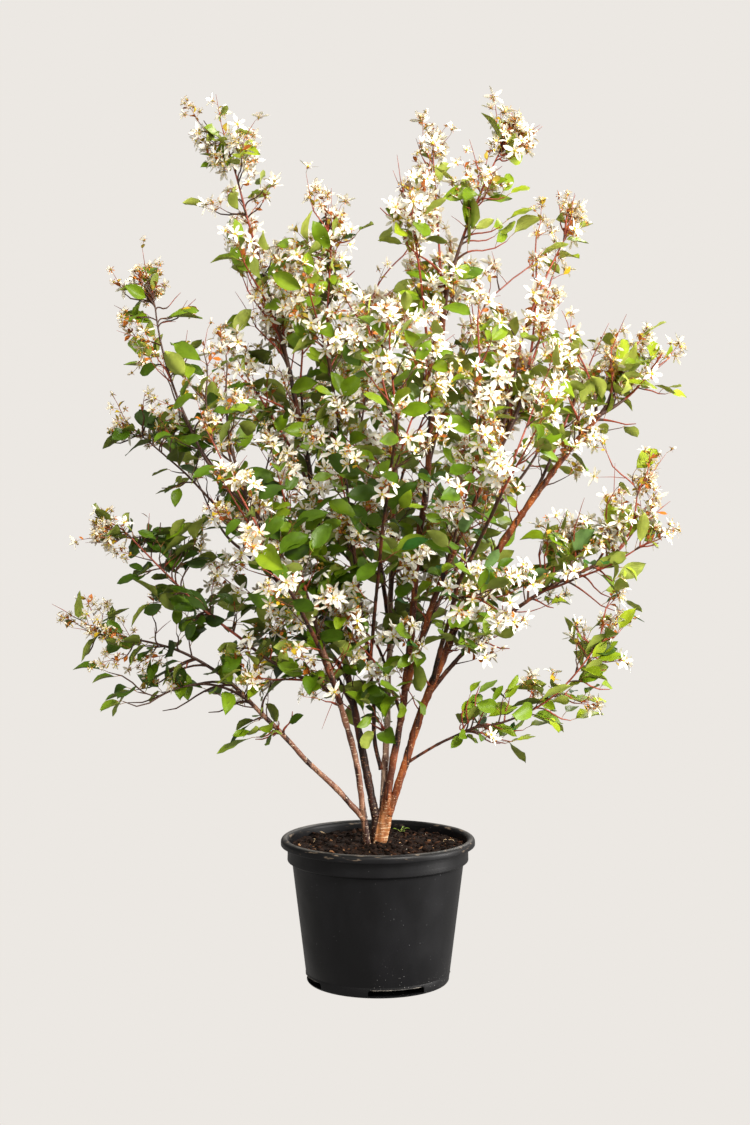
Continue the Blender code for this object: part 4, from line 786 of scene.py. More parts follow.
def pot_paint():
    """Matt black plastic with a fine grain, pale dust, scuffs on the lip and a pale band along the lip's top
    that is a painted highlight.
    """
    paint = Paint("black_plastic", srgb(13, 13, 15), 0.45, 0.26)
    paint.blend(paint.ramp(paint.noise(22, 4, (1, 1, 0.4)), 0.45, 0.8), srgb(24, 24, 27))
    dust = paint.times(paint.specks(150, 0.085), paint.ramp(paint.noise(24, 2), 0.50, 0.62))
    paint.blend(paint.times(dust, 0.8), srgb(130, 130, 132))
    low = paint.times(paint.specks(260, 0.13), paint.ramp(paint.noise(30, 2), 0.50, 0.60))
    paint.blend(paint.times(low, paint.height(0.060, 0.015)), srgb(150, 148, 146))
    scuffs = paint.ramp(paint.noise(60, 4, (1, 1, 5)), 0.60, 0.70)
    paint.blend(paint.times(scuffs, paint.height(0.198, 0.204)), srgb(128, 112, 96))
    # A pale grey band along the lip's top, broken by noise: a painted highlight
    lip_highlight = paint.ramp(paint.noise(28, 3), 0.36, 0.60)
    paint.blend(paint.times(lip_highlight, paint.height(0.2066, 0.2078)), srgb(84, 82, 80))
    paint.rough(paint.noise(35, 4), 0.34, 0.54)
    paint.bump(paint.noise(900, 2), 0.0002, 0.35)
    return paint.material


def worn_paint():
    """The same plastic where it is cut and rubbed pale."""
    paint = Paint("worn_plastic", srgb(58, 57, 56), 0.6, 0.3)
    paint.blend(paint.ramp(paint.noise(220, 3), 0.45, 0.65), srgb(112, 106, 98))
    return paint.material


def soil_paint(name, colour, light):
    paint = Paint(name, colour, 0.95, 0.15)
    paint.blend(paint.ramp(paint.noise(180, 4), 0.45, 0.7), light)
    paint.bump(paint.noise(420, 4), 0.0015, 0.8)
    return paint.material


# Shapes as arrays of corners and triangles

Shape = namedtuple("Shape", "corners faces slots")


def shape_of(mesh):
    """The arrays of a bmesh, which is freed."""
    bmesh.ops.triangulate(mesh, faces=mesh.faces)
    mesh.verts.index_update()
    corners = np.array([v.co[:] for v in mesh.verts])
    faces = np.array([[v.index for v in f.verts] for f in mesh.faces])
    numbers = np.array([f.material_index for f in mesh.faces])
    mesh.free()
    return Shape(corners, faces, numbers)


def bent(shape, bend):
    """The shape with every corner moved by bend(x, y, z)."""
    return shape._replace(corners=np.array([bend(*corner) for corner in shape.corners]))


def frames_along(points):
    """Two crossways directions at each point, carried along without twist."""
    headings = []
    for i in range(len(points)):
        ahead = points[min(i + 1, len(points) - 1)] - points[max(i - 1, 0)]
        headings.append(ahead.normalized())
    side = headings[0].orthogonal().normalized()
    frames = []
    for heading in headings:
        side = (side - heading * side.dot(heading)).normalized()
        frames.append((side, heading.cross(side)))
    return frames


def strand_shape(points, radii, sides):
    """A tube through the points, open at both ends, which are hidden."""
    rings = []
    for point, radius, (side, other) in zip(points, radii, frames_along(points)):
        for k in range(sides):
            turn = 2 * math.pi * k / sides
            rings.append((point + side * (radius * math.cos(turn)) + other * (radius * math.sin(turn)))[:])
    faces = []
    for i in range(len(points) - 1):
        for k in range(sides):
            a, b = i * sides + k, i * sides + (k + 1) % sides
            faces += [(a, b, b + sides), (a, b + sides, a + sides)]
    return Shape(np.array(rings), np.array(faces), np.zeros(len(faces), int))


def tube_shape(points, radii, sides):
    """The same tube, closed at both ends."""
    tube = strand_shape(points, radii, sides)
    first = len(tube.corners)
    top = first - sides
    ends = []
    for k in range(sides):
        n = (k + 1) % sides
        ends += [(first, n, k), (first + 1, top + k, top + n)]
    corners = np.concatenate([tube.corners, [points[0][:], points[-1][:]]])
    return Shape(corners, np.concatenate([tube.faces, ends]), np.zeros(len(tube.faces) + len(ends), int))


def joined(shapes):
    """Several shapes as one."""
    starts = np.cumsum([0] + [len(shape.corners) for shape in shapes[:-1]])
    return Shape(
        np.concatenate([shape.corners for shape in shapes]),
        np.concatenate([shape.faces + start for shape, start in zip(shapes, starts)]),
        np.concatenate([shape.slots for shape in shapes]),
    )


def facing(root, along, up, size=1.0):
    """A place at the root whose X runs along and whose Z is as near up as it can be."""
    x = along.normalized()
    y = up.cross(x)
    y = y.normalized() if y.length > 1e-6 else x.orthogonal().normalized()
    turn = Matrix((x, y, x.cross(y))).transposed().to_4x4()
    return Matrix.Translation(root) @ turn @ Matrix.Scale(size, 4)


class Heap:
    """Gathers small shapes of one kind, and makes them one mesh, or several where they are many."""

    def __init__(self, name, slot, *materials):
        self.name, self.slot, self.materials = name, slot, materials
        self.shapes = []

    def add(self, shape, place=None):
        if place is not None:
            turn = np.array(place)
            shape = shape._replace(corners=shape.corners @ turn[:3, :3].T + turn[:3, 3])
        self.shapes.append(shape)

    def build(self):
        """Makes the heap's pieces, which ride on the body, and returns them."""
        total = sum(len(shape.faces) for shape in self.shapes)
        parts = max(1, math.ceil(total / MOST_TRIANGLES))
        share = math.ceil(len(self.shapes) / parts)
        made = []
        for i in range(parts):
            name = self.name if parts == 1 else f"{self.name}_{i + 1}"
            made.append(self.build_part(name, self.shapes[i * share : (i + 1) * share]))
        return made

    def build_part(self, name, shapes):
        whole = joined(shapes)
        mesh = bpy.data.meshes.new(name)
        mesh.from_pydata(whole.corners.tolist(), [], whole.faces.tolist())
        mesh.polygons.foreach_set("material_index", whole.slots)
        mesh.polygons.foreach_set("use_smooth", np.ones(len(whole.faces), bool))
        mesh.update()
        for material in self.materials:
            mesh.materials.append(material)
        return settle(bpy.data.objects.new(name, mesh))


def settle(piece):
    """Links the piece, and has it ride on the body."""
    bpy.context.scene.collection.objects.link(piece)
    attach(piece, "root")
    return piece


def add_modifier(piece, kind, **settings):
    modifier = piece.modifiers.new(kind.title(), kind)
    for name, value in settings.items():
        setattr(modifier, name, value)


def bake(piece, material):
    """Gives the piece the mesh that its modifiers make, smooth and of one material, and returns it."""
    bpy.context.view_layer.update()
    graph = bpy.context.evaluated_depsgraph_get()
    done = bpy.data.meshes.new_from_object(piece.evaluated_get(graph))
    piece.modifiers.clear()
    piece.data = done
    done.materials.clear()
    done.materials.append(material)
    done.shade_smooth()
    return done


def shake(chance, size):
    """A small random step to any side."""
    return Vector([chance.uniform(-size, size) for _ in range(3)])


def turned(heading, turn):
    """A direction across the heading, turned round it."""
    return Matrix.Rotation(turn, 3, heading) @ heading.orthogonal().normalized()


# Pot


def body_radius(height):
    """The pot body's outer radius, which tapers to the foot."""
    top = POT_HEIGHT - LIP_DEPTH - COLLAR_DEPTH - SHOULDER_DEPTH
    return FOOT_RADIUS + (BODY_RADIUS - FOOT_RADIUS) * height / top


def arc_points(middle, radius, start, end, count):
    """Points of a circle's arc in the profile's plane, between two angles in degrees."""
    turns = [math.radians(start + (end - start) * i / count) for i in range(count + 1)]
    return [(middle[0] + radius * math.cos(t), middle[1] + radius * math.sin(t)) for t in turns]


def pot_profile():
    """Radius and height of the shell's section, from inside the lip, over it and round the foot."""
    collar_top = POT_HEIGHT - LIP_DEPTH
    collar_bottom = collar_top - COLLAR_DEPTH
    body_top = collar_bottom - SHOULDER_DEPTH
    lip_half = (LIP_RADIUS - COLLAR_RADIUS + WALL) / 2
    lip_middle = (LIP_RADIUS - lip_half, POT_HEIGHT - lip_half)
    ring = body_radius(RING_HEIGHT)
    foot_top = body_radius(FOOT_ROUND)
    return [
        (COLLAR_RADIUS - WALL, SOIL_EDGE - 0.012),
        (COLLAR_RADIUS - WALL, POT_HEIGHT - lip_half - 0.001),
        *arc_points(lip_middle, lip_half, 165, 0, 14),
        *arc_points((LIP_RADIUS - 0.0015, collar_top + 0.0015), 0.0015, 0, -90, 4),
        (COLLAR_RADIUS + 0.0015, collar_top),
        *arc_points((COLLAR_RADIUS + 0.0015, collar_top - 0.0015), 0.0015, 90, 180, 4),
        (COLLAR_RADIUS - 0.0003, (collar_top + collar_bottom) / 2),
        *arc_points((COLLAR_RADIUS - 0.0015, collar_bottom + 0.0015), 0.0015, 0, -60, 4),
        ((COLLAR_RADIUS + body_radius(body_top)) / 2, collar_bottom - 0.0012),
        (body_radius(body_top) + 0.0004, body_top + 0.0008),
        (body_radius(body_top - 0.004), body_top - 0.004),
        (body_radius(0.11), 0.11),
        (body_radius(0.06), 0.06),
        (ring + 0.0002, RING_HEIGHT + 0.0016),
        (ring - 0.0003, RING_HEIGHT + 0.0008),
        (ring - 0.0003, RING_HEIGHT),
        (ring, RING_HEIGHT - 0.0008),
        *arc_points((foot_top - FOOT_ROUND, FOOT_ROUND), FOOT_ROUND, 0, -90, 6),
        (0.060, 0.0),
        (0.055, 0.0015),
        (0, 0.0015),
    ]


def make_pot():
    """The pot's outer skin, turned finely, with its slots cut through the foot."""
    shape = bmesh.new()
    corners = [shape.verts.new((radius, 0, height)) for radius, height in pot_profile()]
    for above, below in zip(corners, corners[1:]):
        shape.edges.new((above, below))
    mesh = bpy.data.meshes.new("pot_shell")
    shape.to_mesh(mesh)
    shape.free()
    pot = settle(bpy.data.objects.new("pot_shell", mesh))
    add_modifier(
        pot, "SCREW", steps=POT_STEPS, render_steps=POT_STEPS, use_merge_vertices=True, merge_threshold=1e-5
    )
    add_modifier(pot, "SOLIDIFY", thickness=WALL * 0.9, offset=-1)
    slots = bpy.data.collections.new("slot cutters")
    bpy.context.scene.collection.children.link(slots)
    for i in range(SLOTS):
        add_slot_cutter(slots, SLOT_BEARING + 360 / SLOTS * i)
    add_modifier(pot, "BOOLEAN", operation="DIFFERENCE", operand_type="COLLECTION", collection=slots)
    bake(pot, pot_paint()).set_sharp_from_angle(angle=math.radians(35))
    for used in list(slots.objects):
        bpy.data.objects.remove(used)
    bpy.data.collections.remove(slots)
    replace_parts(pot, "pot")
    make_slot_edges()


def make_slot_edges():
    """The rubbed pale upper edge of each slot."""
    edges = Heap("slot_edges", "pot", worn_paint())
    for i in range(SLOTS):
        first = SLOT_BEARING + 360 / SLOTS * i - SLOT_SPAN / 2
        points = []
        for k in range(EDGE_STEPS + 1):
            turn = first + SLOT_SPAN * (0.06 + 0.88 * k / EDGE_STEPS)
            points.append(at_bearing(turn, body_radius(SLOT_TOP), SLOT_TOP))
        radii = [0.0003] + [0.0007 + 0.0003 * math.sin(1.7 * k) for k in range(1, EDGE_STEPS)] + [0.0003]
        edges.add(tube_shape(points, radii, 6))
    edges.build()


def add_slot_cutter(collection, bearing):
    """A box with rounded upper corners through the wall's foot."""
    half_width = FOOT_RADIUS * math.sin(math.radians(SLOT_SPAN / 2))
    deep = FOOT_RADIUS * math.cos(math.radians(SLOT_SPAN / 2)) - 3 * WALL
    size = (LIP_RADIUS - deep, 2 * half_width, SLOT_TOP - SLOT_BOTTOM)
    middle = ((LIP_RADIUS + deep) / 2, 0, (SLOT_TOP + SLOT_BOTTOM) / 2)
    shape = bmesh.new()
    place = Matrix.Translation(middle) @ Matrix.Diagonal((*size, 1))
    bmesh.ops.create_cube(shape, size=1, matrix=place)
    upper = [e for e in shape.edges if all(v.co.z > middle[2] for v in e.verts)]
    ends = [e for e in upper if abs(e.verts[0].co.y - e.verts[1].co.y) < 1e-6]
    bmesh.ops.bevel(shape, geom=ends, offset=SLOT_ROUND, segments=5, affect="EDGES", profile=0.5)
    bmesh.ops.rotate(shape, verts=shape.verts, matrix=Matrix.Rotation(math.radians(bearing), 3, "Z"))
    mesh = bpy.data.meshes.new("slot")
    shape.to_mesh(mesh)
    shape.free()
    cutter = bpy.data.objects.new("slot", mesh)
    cutter.hide_render = True
    collection.objects.link(cutter)


# Soil


def soil_height(x, y):
    """The soil's surface: level round the stems, lower at the wall, and lumpy all over."""
    radius = math.hypot(x, y)
    fall = max(0.0, (radius - SOIL_LEVEL_RADIUS) / (SOIL_RADIUS - SOIL_LEVEL_RADIUS))
    lumps = noise.noise(Vector((x * 55, y * 55, 0))) * 0.0034
    crumbs = noise.noise(Vector((x * 140, y * 140, 5))) * 0.0026
    return SOIL_TOP - 0.0015 + (SOIL_EDGE - SOIL_TOP) * fall + lumps + crumbs


def make_soil():
    """The soil as a lumpy disc, with crumbs, bits of bark and a few white grains lying on it."""
    shape = bmesh.new()
    bmesh.ops.create_grid(shape, x_segments=110, y_segments=110, size=1)
    for corner in shape.verts:
        reach = max(abs(corner.co.x), abs(corner.co.y))
        length = math.hypot(corner.co.x, corner.co.y)
        scale = SOIL_RADIUS * reach / length if length > 1e-9 else 0
        x, y = corner.co.x * scale, corner.co.y * scale
        corner.co = (x, y, soil_height(x, y))
    bed = Heap("soil_bed", "soil", soil_paint("compost", srgb(24, 15, 11), srgb(48, 31, 21)))
    bed.add(shape_of(shape))
    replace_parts(bed.build()[0], "soil")
    kinds = (
        ("crumbs_dark", 900, (0.0012, 0.0070), srgb(18, 11, 8), srgb(44, 27, 18)),
        ("crumbs_brown", 260, (0.0010, 0.0058), srgb(48, 29, 19), srgb(82, 52, 34)),
        ("crumbs_tan", 120, (0.0007, 0.0042), srgb(120, 82, 54), srgb(176, 138, 102)),
        ("crumbs_white", 40, (0.0006, 0.0018), srgb(200, 188, 172), srgb(222, 214, 202)),
    )
    ball = bmesh.new()
    bmesh.ops.create_icosphere(ball, subdivisions=1, radius=1)
    ball = shape_of(ball)
    for name, count, sizes, colour, light in kinds:
        scatter_crumbs(name, count, sizes, ball, soil_paint(name, colour, light))
    make_rootlets()
    make_seedling()


def make_rootlets():
    """Three pale curls of dry root that lie on the soil near the wall."""
    heap = Heap("rootlets", "soil", soil_paint("dry_root", srgb(176, 150, 116), srgb(206, 186, 152)))
    curls = ((0.112, 0.030, 80, 0.013), (-0.080, 0.090, 160, 0.009), (-0.094, 0.020, 20, 0.008))
    for x, y, turn, size in curls:
        points = []
        for k in range(9):
            curl = math.radians(turn + 26 * k)
            step = Vector((math.cos(curl), math.sin(curl), 0)) * size * 0.28
            points.append(points[-1] + step if points else Vector((x, y, 0)))
        for k, point in enumerate(points):
            point.z = soil_height(point.x, point.y) + 0.0008 + 0.003 * math.sin(math.pi * k / 8)
        heap.add(tube_shape(points, [0.0004] * 9, 5))
    heap.build()


def make_seedling():
    """A tiny weed behind the stems: two stalks and a few small leaves."""
    chance = random.Random("seedling")
    form = leaf_form(chance, 4, (-1, 0, 1))
    upper = leaf_paint("seedling_leaf", srgb(120, 150, 40), 0.42)
    under = leaf_paint("seedling_under", srgb(150, 168, 80), 0.42)
    leaves = Heap("seedling_leaves", "foliage", upper, under)
    stalks = Heap("seedling_stalks", "foliage", twig_paint("seedling_stalk", srgb(150, 170, 80)))
    foot = Vector((0.034, 0.100, 0))
    foot.z = soil_height(foot.x, foot.y) - 0.001
    blades = ((160, 0.004, 0.008), (10, 0.005, 0.009), (300, 0.003, 0.007), (60, 0.006, 0.007))
    for bearing, height, length in blades:
        tip = foot + at_bearing(bearing, 0.006, height)
        stalks.add(tube_shape([foot, foot.lerp(tip, 0.5) + UP * 0.002, tip], [0.0005, 0.0004, 0.0003], 4))
        leaves.add(form, facing(tip, at_bearing(bearing, 1, 0.2), UP, length))
    leaves.build()
    stalks.build()


def scatter_crumbs(name, count, sizes, ball, material):
    """Irregular crumbs of one colour over the soil, smaller ones the more common."""
    chance = random.Random(name)
    heap = Heap(name, "soil", material)
    for _ in range(count):
        reach = (SOIL_RADIUS - 0.003) * math.sqrt(chance.random())
        turn = chance.uniform(0, 2 * math.pi)
        x, y = reach * math.cos(turn), reach * math.sin(turn)
        size = sizes[0] + (sizes[1] - sizes[0]) * chance.random() ** 2.5
        squash = Matrix.Diagonal((size, size * chance.uniform(0.35, 1), size * chance.uniform(0.25, 0.6), 1))
        lean = chance.uniform(-0.6, 0.6)
        tilt = Matrix.Rotation(lean, 4, (chance.uniform(-1, 1), chance.uniform(-1, 1), 0))
        tumble = tilt @ Matrix.Rotation(chance.uniform(0, 6), 4, "Z")
        place = Matrix.Translation((x, y, soil_height(x, y) + size * 0.25)) @ tumble @ squash
        offset = chance.uniform(0, 50)
        lumpy = bent(ball, lambda *p, o=offset: Vector(p) * (1 + noise.noise(Vector(p) * 1.6 + UP * o)))
        heap.add(lumpy, place)
    heap.build()


# Limbs


def at_bearing(bearing, reach, height):
    turn = math.radians(bearing)
    return Vector((reach * math.cos(turn), reach * math.sin(turn), height))


class Arc:
    """A stem's middle line: a quadratic curve with a radius at each end, and small kinks."""

    def __init__(self, name, foot, middle, tip, foot_radius, tip_radius):
        self.name = name
        self.foot, self.middle, self.tip = foot, middle, tip
        self.foot_radius, self.tip_radius = foot_radius, tip_radius

    def point(self, share):
        first = self.foot.lerp(self.middle, share)
        return first.lerp(self.middle.lerp(self.tip, share), share)

    def heading(self, share):
        return (self.middle - self.foot).lerp(self.tip - self.middle, share).normalized()

    def radius(self, share):
        return self.foot_radius + (self.tip_radius - self.foot_radius) * share

    def length(self):
        straight = (self.tip - self.foot).length
        return (straight + (self.middle - self.foot).length + (self.tip - self.middle).length) / 2

    def kinked(self, share):
        """The point where the real stem is, which turns a little at each old bud."""
        step = KINK_STEP / self.length()
        whole = int(share / step)
        aside = kink_at(self.name, whole).lerp(kink_at(self.name, whole + 1), share / step - whole)
        place = self.point(share) + aside * KINK_SIZE * math.sin(math.pi * share)
        for swerve in SWERVES:
            if swerve.limb == self.name:
                place.x += swerve.aside * math.exp(-(((share - swerve.share) / swerve.spread) ** 2))
        return place


def kink_at(name, number):
    return shake(random.Random(f"{name} kink {number}"), 1)


def trunk_arc():
    return Arc("trunk", TRUNK_FOOT, (TRUNK_FOOT + TRUNK_FORK) / 2, TRUNK_FORK, TRUNK_WAIST, TRUNK_WAIST)


def trunk_radius(share):
    """Flares to the roots at the soil and swells again where the boughs leave."""
    return TRUNK_WAIST + TRUNK_FLARE * (1 - share) ** 5 + TRUNK_SWELL * share**2


def limb_arc(limb, arcs):
    foot = SIDE_STEM_FOOT if limb.parent == "soil" else arcs[limb.parent].kinked(limb.share)
    if limb.parent == "trunk":
        foot = foot + at_bearing(limb.bearing, trunk_radius(limb.share) * TRUNK_SIDE, 0)
    tip = at_bearing(limb.bearing, limb.reach, limb.height)
    along = (tip - foot).normalized()
    above = (UP - along * along.z).normalized()
    middle = (foot + tip) / 2 + 2 * limb.bow * above
    return Arc(limb.name, foot, middle, tip, limb.foot_radius, limb.tip_radius)


def leader_arc(mass, arcs):
    """A mass's own stem, which runs on from its limb and ends a leaf's length short of its tip."""
    limb = arcs[mass.limb]
    heading = limb.heading(mass.share)
    from_tip = mass.share == 1
    foot = limb.kinked(mass.share)
    tip = at_bearing(mass.bearing, mass.reach, mass.height)
    straight = tip - foot
    tip -= straight * min(TIP_LEAF / straight.length, SHORT_SHARE)
    straight = tip - foot
    along = straight.normalized()
    above = (UP - along * along.z).normalized()
    bend = heading if from_tip else (heading + along).normalized()
    middle = foot + bend * straight.length * LEADER_BEND + 2 * mass.bow * above
    foot_radius = limb.radius(mass.share) * (1 if from_tip else LEADER_SIDE_SHARE)
    return Arc(mass.name, foot, middle, tip, min(foot_radius, LEADER_MOST_RADIUS), LEADER_TIP_RADIUS)


def bark_relief(shape, strength):
    """Presses hollows and ridges that run up the limb, and finer ones across it, into its skin."""

    def press(x, y, z):
        along = noise.noise_vector(Vector((x * 150, y * 150, z * 45)))
        across = noise.noise_vector(Vector((x * 60, y * 60, z * 320)))
        shift = (along + across * 0.4) * strength
        return (x + shift.x, y + shift.y, z + shift.z)

    return bent(shape, press)


def limb_tube(arc, radius_of, sides, strength):
    """A limb's tube with rings every few millimetres, whose radius swells at old buds."""
    count = max(6, round(arc.length() / RING_STEP))
    wander = random.Random(arc.name).uniform(0, 100)
    points, radii = [], []
    for i in range(count + 1):
        share = i / count
        along = share * arc.length()
        node = math.exp(-(((along + KINK_STEP / 2) % KINK_STEP - KINK_STEP / 2) / BUD_HEIGHT) ** 2)
        rough = noise.noise(Vector((along * 60, wander, 0)))
        points.append(arc.kinked(share))
        radii.append(radius_of(share) * (1 + BUD_SWELL * node + UNEVEN * rough))
    points.append(points[-1] + arc.heading(1) * radii[-1] * 0.6)
    radii.append(radii[-1] * 0.55)
    return bark_relief(tube_shape(points, radii, sides), strength)


def make_trunk(arcs, material):
    """The trunk: the feet of the boughs that leave it, grown together round a core, with their bark."""
    foot = TRUNK_FOOT - UP * SUNK
    core = [foot.lerp(TRUNK_FORK, share) for share in (0, 0.25, 0.50, 0.70)]
    shapes = [tube_shape(core, [0.0068, 0.0066, 0.0064, 0.0040], 24)]
    for name, (aside, behind) in BOUGH_FEET.items():
        arc = arcs[name]
        start = foot + Vector((aside, behind, 0))
        thick = arc.foot_radius * SLIMNESS.get(name, 1)
        first = arc.kinked(0)
        points = [start, start.lerp(first, 0.35), start.lerp(first, 0.7)]
        radii = [thick * 0.80, thick * 0.95, thick * 1.05]
        steps = round(FORK_REACH / RING_STEP)
        for i in range(steps + 1):
            points.append(arc.kinked(i / steps * FORK_REACH / arc.length()))
            radii.append(thick * (1.06 - 0.06 * i / steps))
        shapes.append(tube_shape(points, radii, 16))
    heap = Heap("trunk_bark", "bark", material)
    heap.add(joined(shapes))
    trunk = heap.build()[0]
    add_modifier(trunk, "REMESH", mode="VOXEL", voxel_size=0.0008)
    add_modifier(trunk, "SMOOTH", iterations=6)
    done = bake(trunk, material)
    normals = [v.normal.copy() for v in done.vertices]
    for corner, normal in zip(done.vertices, normals):
        x, y, z = corner.co
        ridge = noise.noise(Vector((x * 300, y * 300, z * 55))) * 0.0006
        ring = noise.noise(Vector((x * 70, y * 70, z * 620))) * 0.00028
        corner.co += normal * (ridge + ring)
    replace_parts(trunk, "trunk")


def make_limbs(arcs):
    """The trunk and every limb, each in its own piece, which runs on into what carries it."""
    barks = bark_paints()
    arcs["trunk"] = trunk_arc()
    for limb in LIMBS:
        arc = arcs[limb.name] = limb_arc(limb, arcs)
        if limb.parent == "soil":
            arc = Arc(limb.name, arc.foot - UP * SUNK, arc.middle, arc.tip, arc.foot_radius, arc.tip_radius)
        collar = COLLAR_LENGTH * limb.foot_radius / arc.length()
        slim = SLIMNESS.get(limb.name, 1)
        swell = 0 if limb.parent == "trunk" else COLLAR_SWELL

        def radius_of(share, arc=arc, collar=collar, slim=slim, swell=swell):
            slimmer = slim + (1 - slim) * min(1, share / 0.5)
            return arc.radius(share) * slimmer * (1 + swell * math.exp(-share / collar))

        thick = limb.foot_radius > THIN_LIMB
        bark = barks[BARKS.get(limb.name, "brown" if thick else "young")]
        heap = Heap(limb.name + "_bark", "bark", bark)
        heap.add(limb_tube(arc, radius_of, 20 if thick else 12, limb.foot_radius * RELIEF))
        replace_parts(heap.build()[0], limb.name)
    make_trunk(arcs, barks["foot"])


# Leaves, blossom and twigs


def sheet_faces(rows, columns, flipped=False):
    """The triangles of a grid of corners that runs row by row."""
    faces = []
    for i in range(rows - 1):
        for j in range(columns - 1):
            a, b = i * columns + j, i * columns + j + 1
            c, d = a + columns, b + columns
            faces += [(a, c, d), (a, d, b)]
    faces = np.array(faces)
    return faces[:, ::-1] if flipped else faces


def leaf_form(chance, rows=LEAF_ROWS, lines=(-1, -0.55, 0, 0.55, 1)):
    """A leaf 1 long along +X, folded along its rib: an upper and an under sheet that meet at the edge."""
    widest = chance.uniform(0.44, 0.60)
    bluntness = chance.uniform(0.60, 0.80)
    breadth = chance.uniform(*LEAF_BREADTHS)
    fold = math.tan(math.radians(chance.uniform(12, 42)))
    arch = chance.uniform(0.02, 0.42)
    twist = chance.uniform(-0.8, 0.8)
    wave = chance.uniform(0.00, 0.030)
    phase = chance.uniform(0, 6)
    sweep = chance.uniform(-0.14, 0.14)
    power = math.log(0.5) / math.log(widest)
    corners = []
    edge = []
    for i in range(rows + 1):
        share = i / rows
        half = max(0.012, math.sin(math.pi * share**power) ** bluntness) * breadth / 2
        for across in lines:
            y = across * half
            z = abs(y) * fold - 0.9 * abs(y) ** 2 + wave * math.sin(8 * share + phase) * across
            z += 0.012 * (-1) ** i * abs(across) - arch * share**2
            turn = twist * share
            y, z = y * math.cos(turn) - z * math.sin(turn), y * math.sin(turn) + z * math.cos(turn)
            corners.append((share - arch * 0.3 * share**2, y + sweep * share**2, z))
            edge.append(abs(across) == 1 or i in (0, rows))
    upper = np.array(corners)
    over = sheet_faces(rows + 1, len(lines))
    below = sheet_faces(rows + 1, len(lines), True)
    normals = np.zeros_like(upper)
    for face in over:
        a, b, c = upper[face]
        normals[face] += np.cross(b - a, c - a)
    normals /= np.linalg.norm(normals, axis=1, keepdims=True)
    normals *= np.sign(normals[len(lines) + 1, 2])
    under = upper - normals * (LEAF_THICKNESS / LEAF_LENGTHS[1]) * ~np.array(edge)[:, None]
    faces = np.concatenate([over, below + len(upper)])
    slots = np.concatenate([np.zeros(len(over), int), np.ones(len(below), int)])
    return Shape(np.concatenate([upper, under]), faces, slots)


def petal_form(turn, chance):
    """A petal in a flower that faces +X: a narrow pointed strap."""
    length = PETAL_LENGTH * chance.uniform(0.85, 1.15)
    half = PETAL_BREADTH * chance.uniform(0.85, 1.15) / 2
    opened = math.radians(chance.uniform(52, 96))
    curl = chance.uniform(-0.35, 0.30)
    cup = chance.uniform(0.1, 0.5)
    twist = chance.uniform(-0.6, 0.6)
    corners = []
    for share, width in ((0, 0.30), (0.35, 0.95), (0.72, 0.90), (1, 0.10)):
        for across in (-1, 0, 1):
            side = across * width * half
            rise = length * share
            lift = cup * abs(side) + curl * rise * share * 0.5 + twist * side * share
            corners.append((rise * math.cos(opened) + lift, side, 0.0012 + rise * math.sin(opened)))
    spin = np.array(Matrix.Rotation(turn, 3, "X"))
    faces = sheet_faces(4, 3)
    return Shape(np.array(corners) @ spin.T, faces, np.zeros(len(faces), int))


ANTHER = ((1, 0, 0), (-0.5, 1, 0), (-0.5, -0.5, 0.9), (-0.5, -0.5, -0.9))  # its four corners


def petals_form(chance):
    """The five petals of one flower."""
    turns = [math.radians(72 * k) + chance.uniform(-0.18, 0.18) for k in range(5)]
    return joined([petal_form(turn, chance) for turn in turns])


def cone_form(sides, foot, top, foot_radius, top_radius):
    """An open cone along +X between two places, closed at its top by a fan."""
    corners = []
    for x, radius in ((foot, foot_radius), (top, top_radius)):
        for k in range(sides):
            turn = 2 * math.pi * k / sides
            corners.append((x, radius * math.sin(turn), radius * math.cos(turn)))
    corners.append((top, 0, 0))
    faces = []
    for k in range(sides):
        n = (k + 1) % sides
        faces += [(k, n, sides + n), (k, sides + n, sides + k), (sides + k, sides + n, 2 * sides)]
    return Shape(np.array(corners), np.array(faces)[:, ::-1], np.zeros(len(faces), int))


def stamens_form(chance):
    """The heart of a flower, and a ring of thin stamens that lean out from it with their anthers."""
    pieces = [cone_form(5, 0.0002, 0.0020, 0.0018, 0.0008)]
    for k in range(6):
        turn = 2 * math.pi * k / 6 + chance.uniform(-0.2, 0.2)
        out = Vector((0, math.sin(turn), math.cos(turn)))
        foot = Vector((0.001, 0, 0)) + out * 0.0012
        tip = foot + Vector((chance.uniform(0.0024, 0.0040), 0, 0)) + out * chance.uniform(0.0010, 0.0030)
        side = Vector((0, out.z, -out.y)) * 0.0002
        corners = np.array([c[:] for c in (foot + side, foot - side, tip + side, tip - side)])
        pieces.append(Shape(corners, np.array([(0, 1, 2), (1, 3, 2)]), np.ones(2, int)))
        anther = [tip + Vector(c) * 0.0008 for c in ANTHER]
        faces = np.array([(0, 1, 2), (0, 2, 3), (0, 3, 1), (1, 3, 2)])
        pieces.append(Shape(np.array([c[:] for c in anther]), faces, np.full(4, 2)))
    return joined(pieces)


def calyx_form(chance):
    """The cup behind a flower with its five pointed sepals, turned back."""
    cup = cone_form(5, 0.0004, -0.0026, 0.0018, 0.0007)
    pieces = [cup._replace(faces=cup.faces[:, ::-1])]
    for k in range(5):
        turn = math.radians(72 * k + 36)
        out = Vector((0, math.sin(turn), math.cos(turn)))
        side = Vector((0, math.cos(turn), -math.sin(turn)))
        back = Vector((chance.uniform(0.0005, 0.0040), 0, 0))
        foot = out * 0.0011
        tip = foot + out * chance.uniform(0.0030, 0.0050) - back
        middle = foot.lerp(tip, 0.4)
        corners = [foot, middle + side * 0.0009, middle - side * 0.0009, tip]
        faces = np.array([(0, 1, 2), (1, 3, 2)])
        pieces.append(Shape(np.array([c[:] for c in corners]), faces, np.ones(2, int)))
    return joined(pieces)


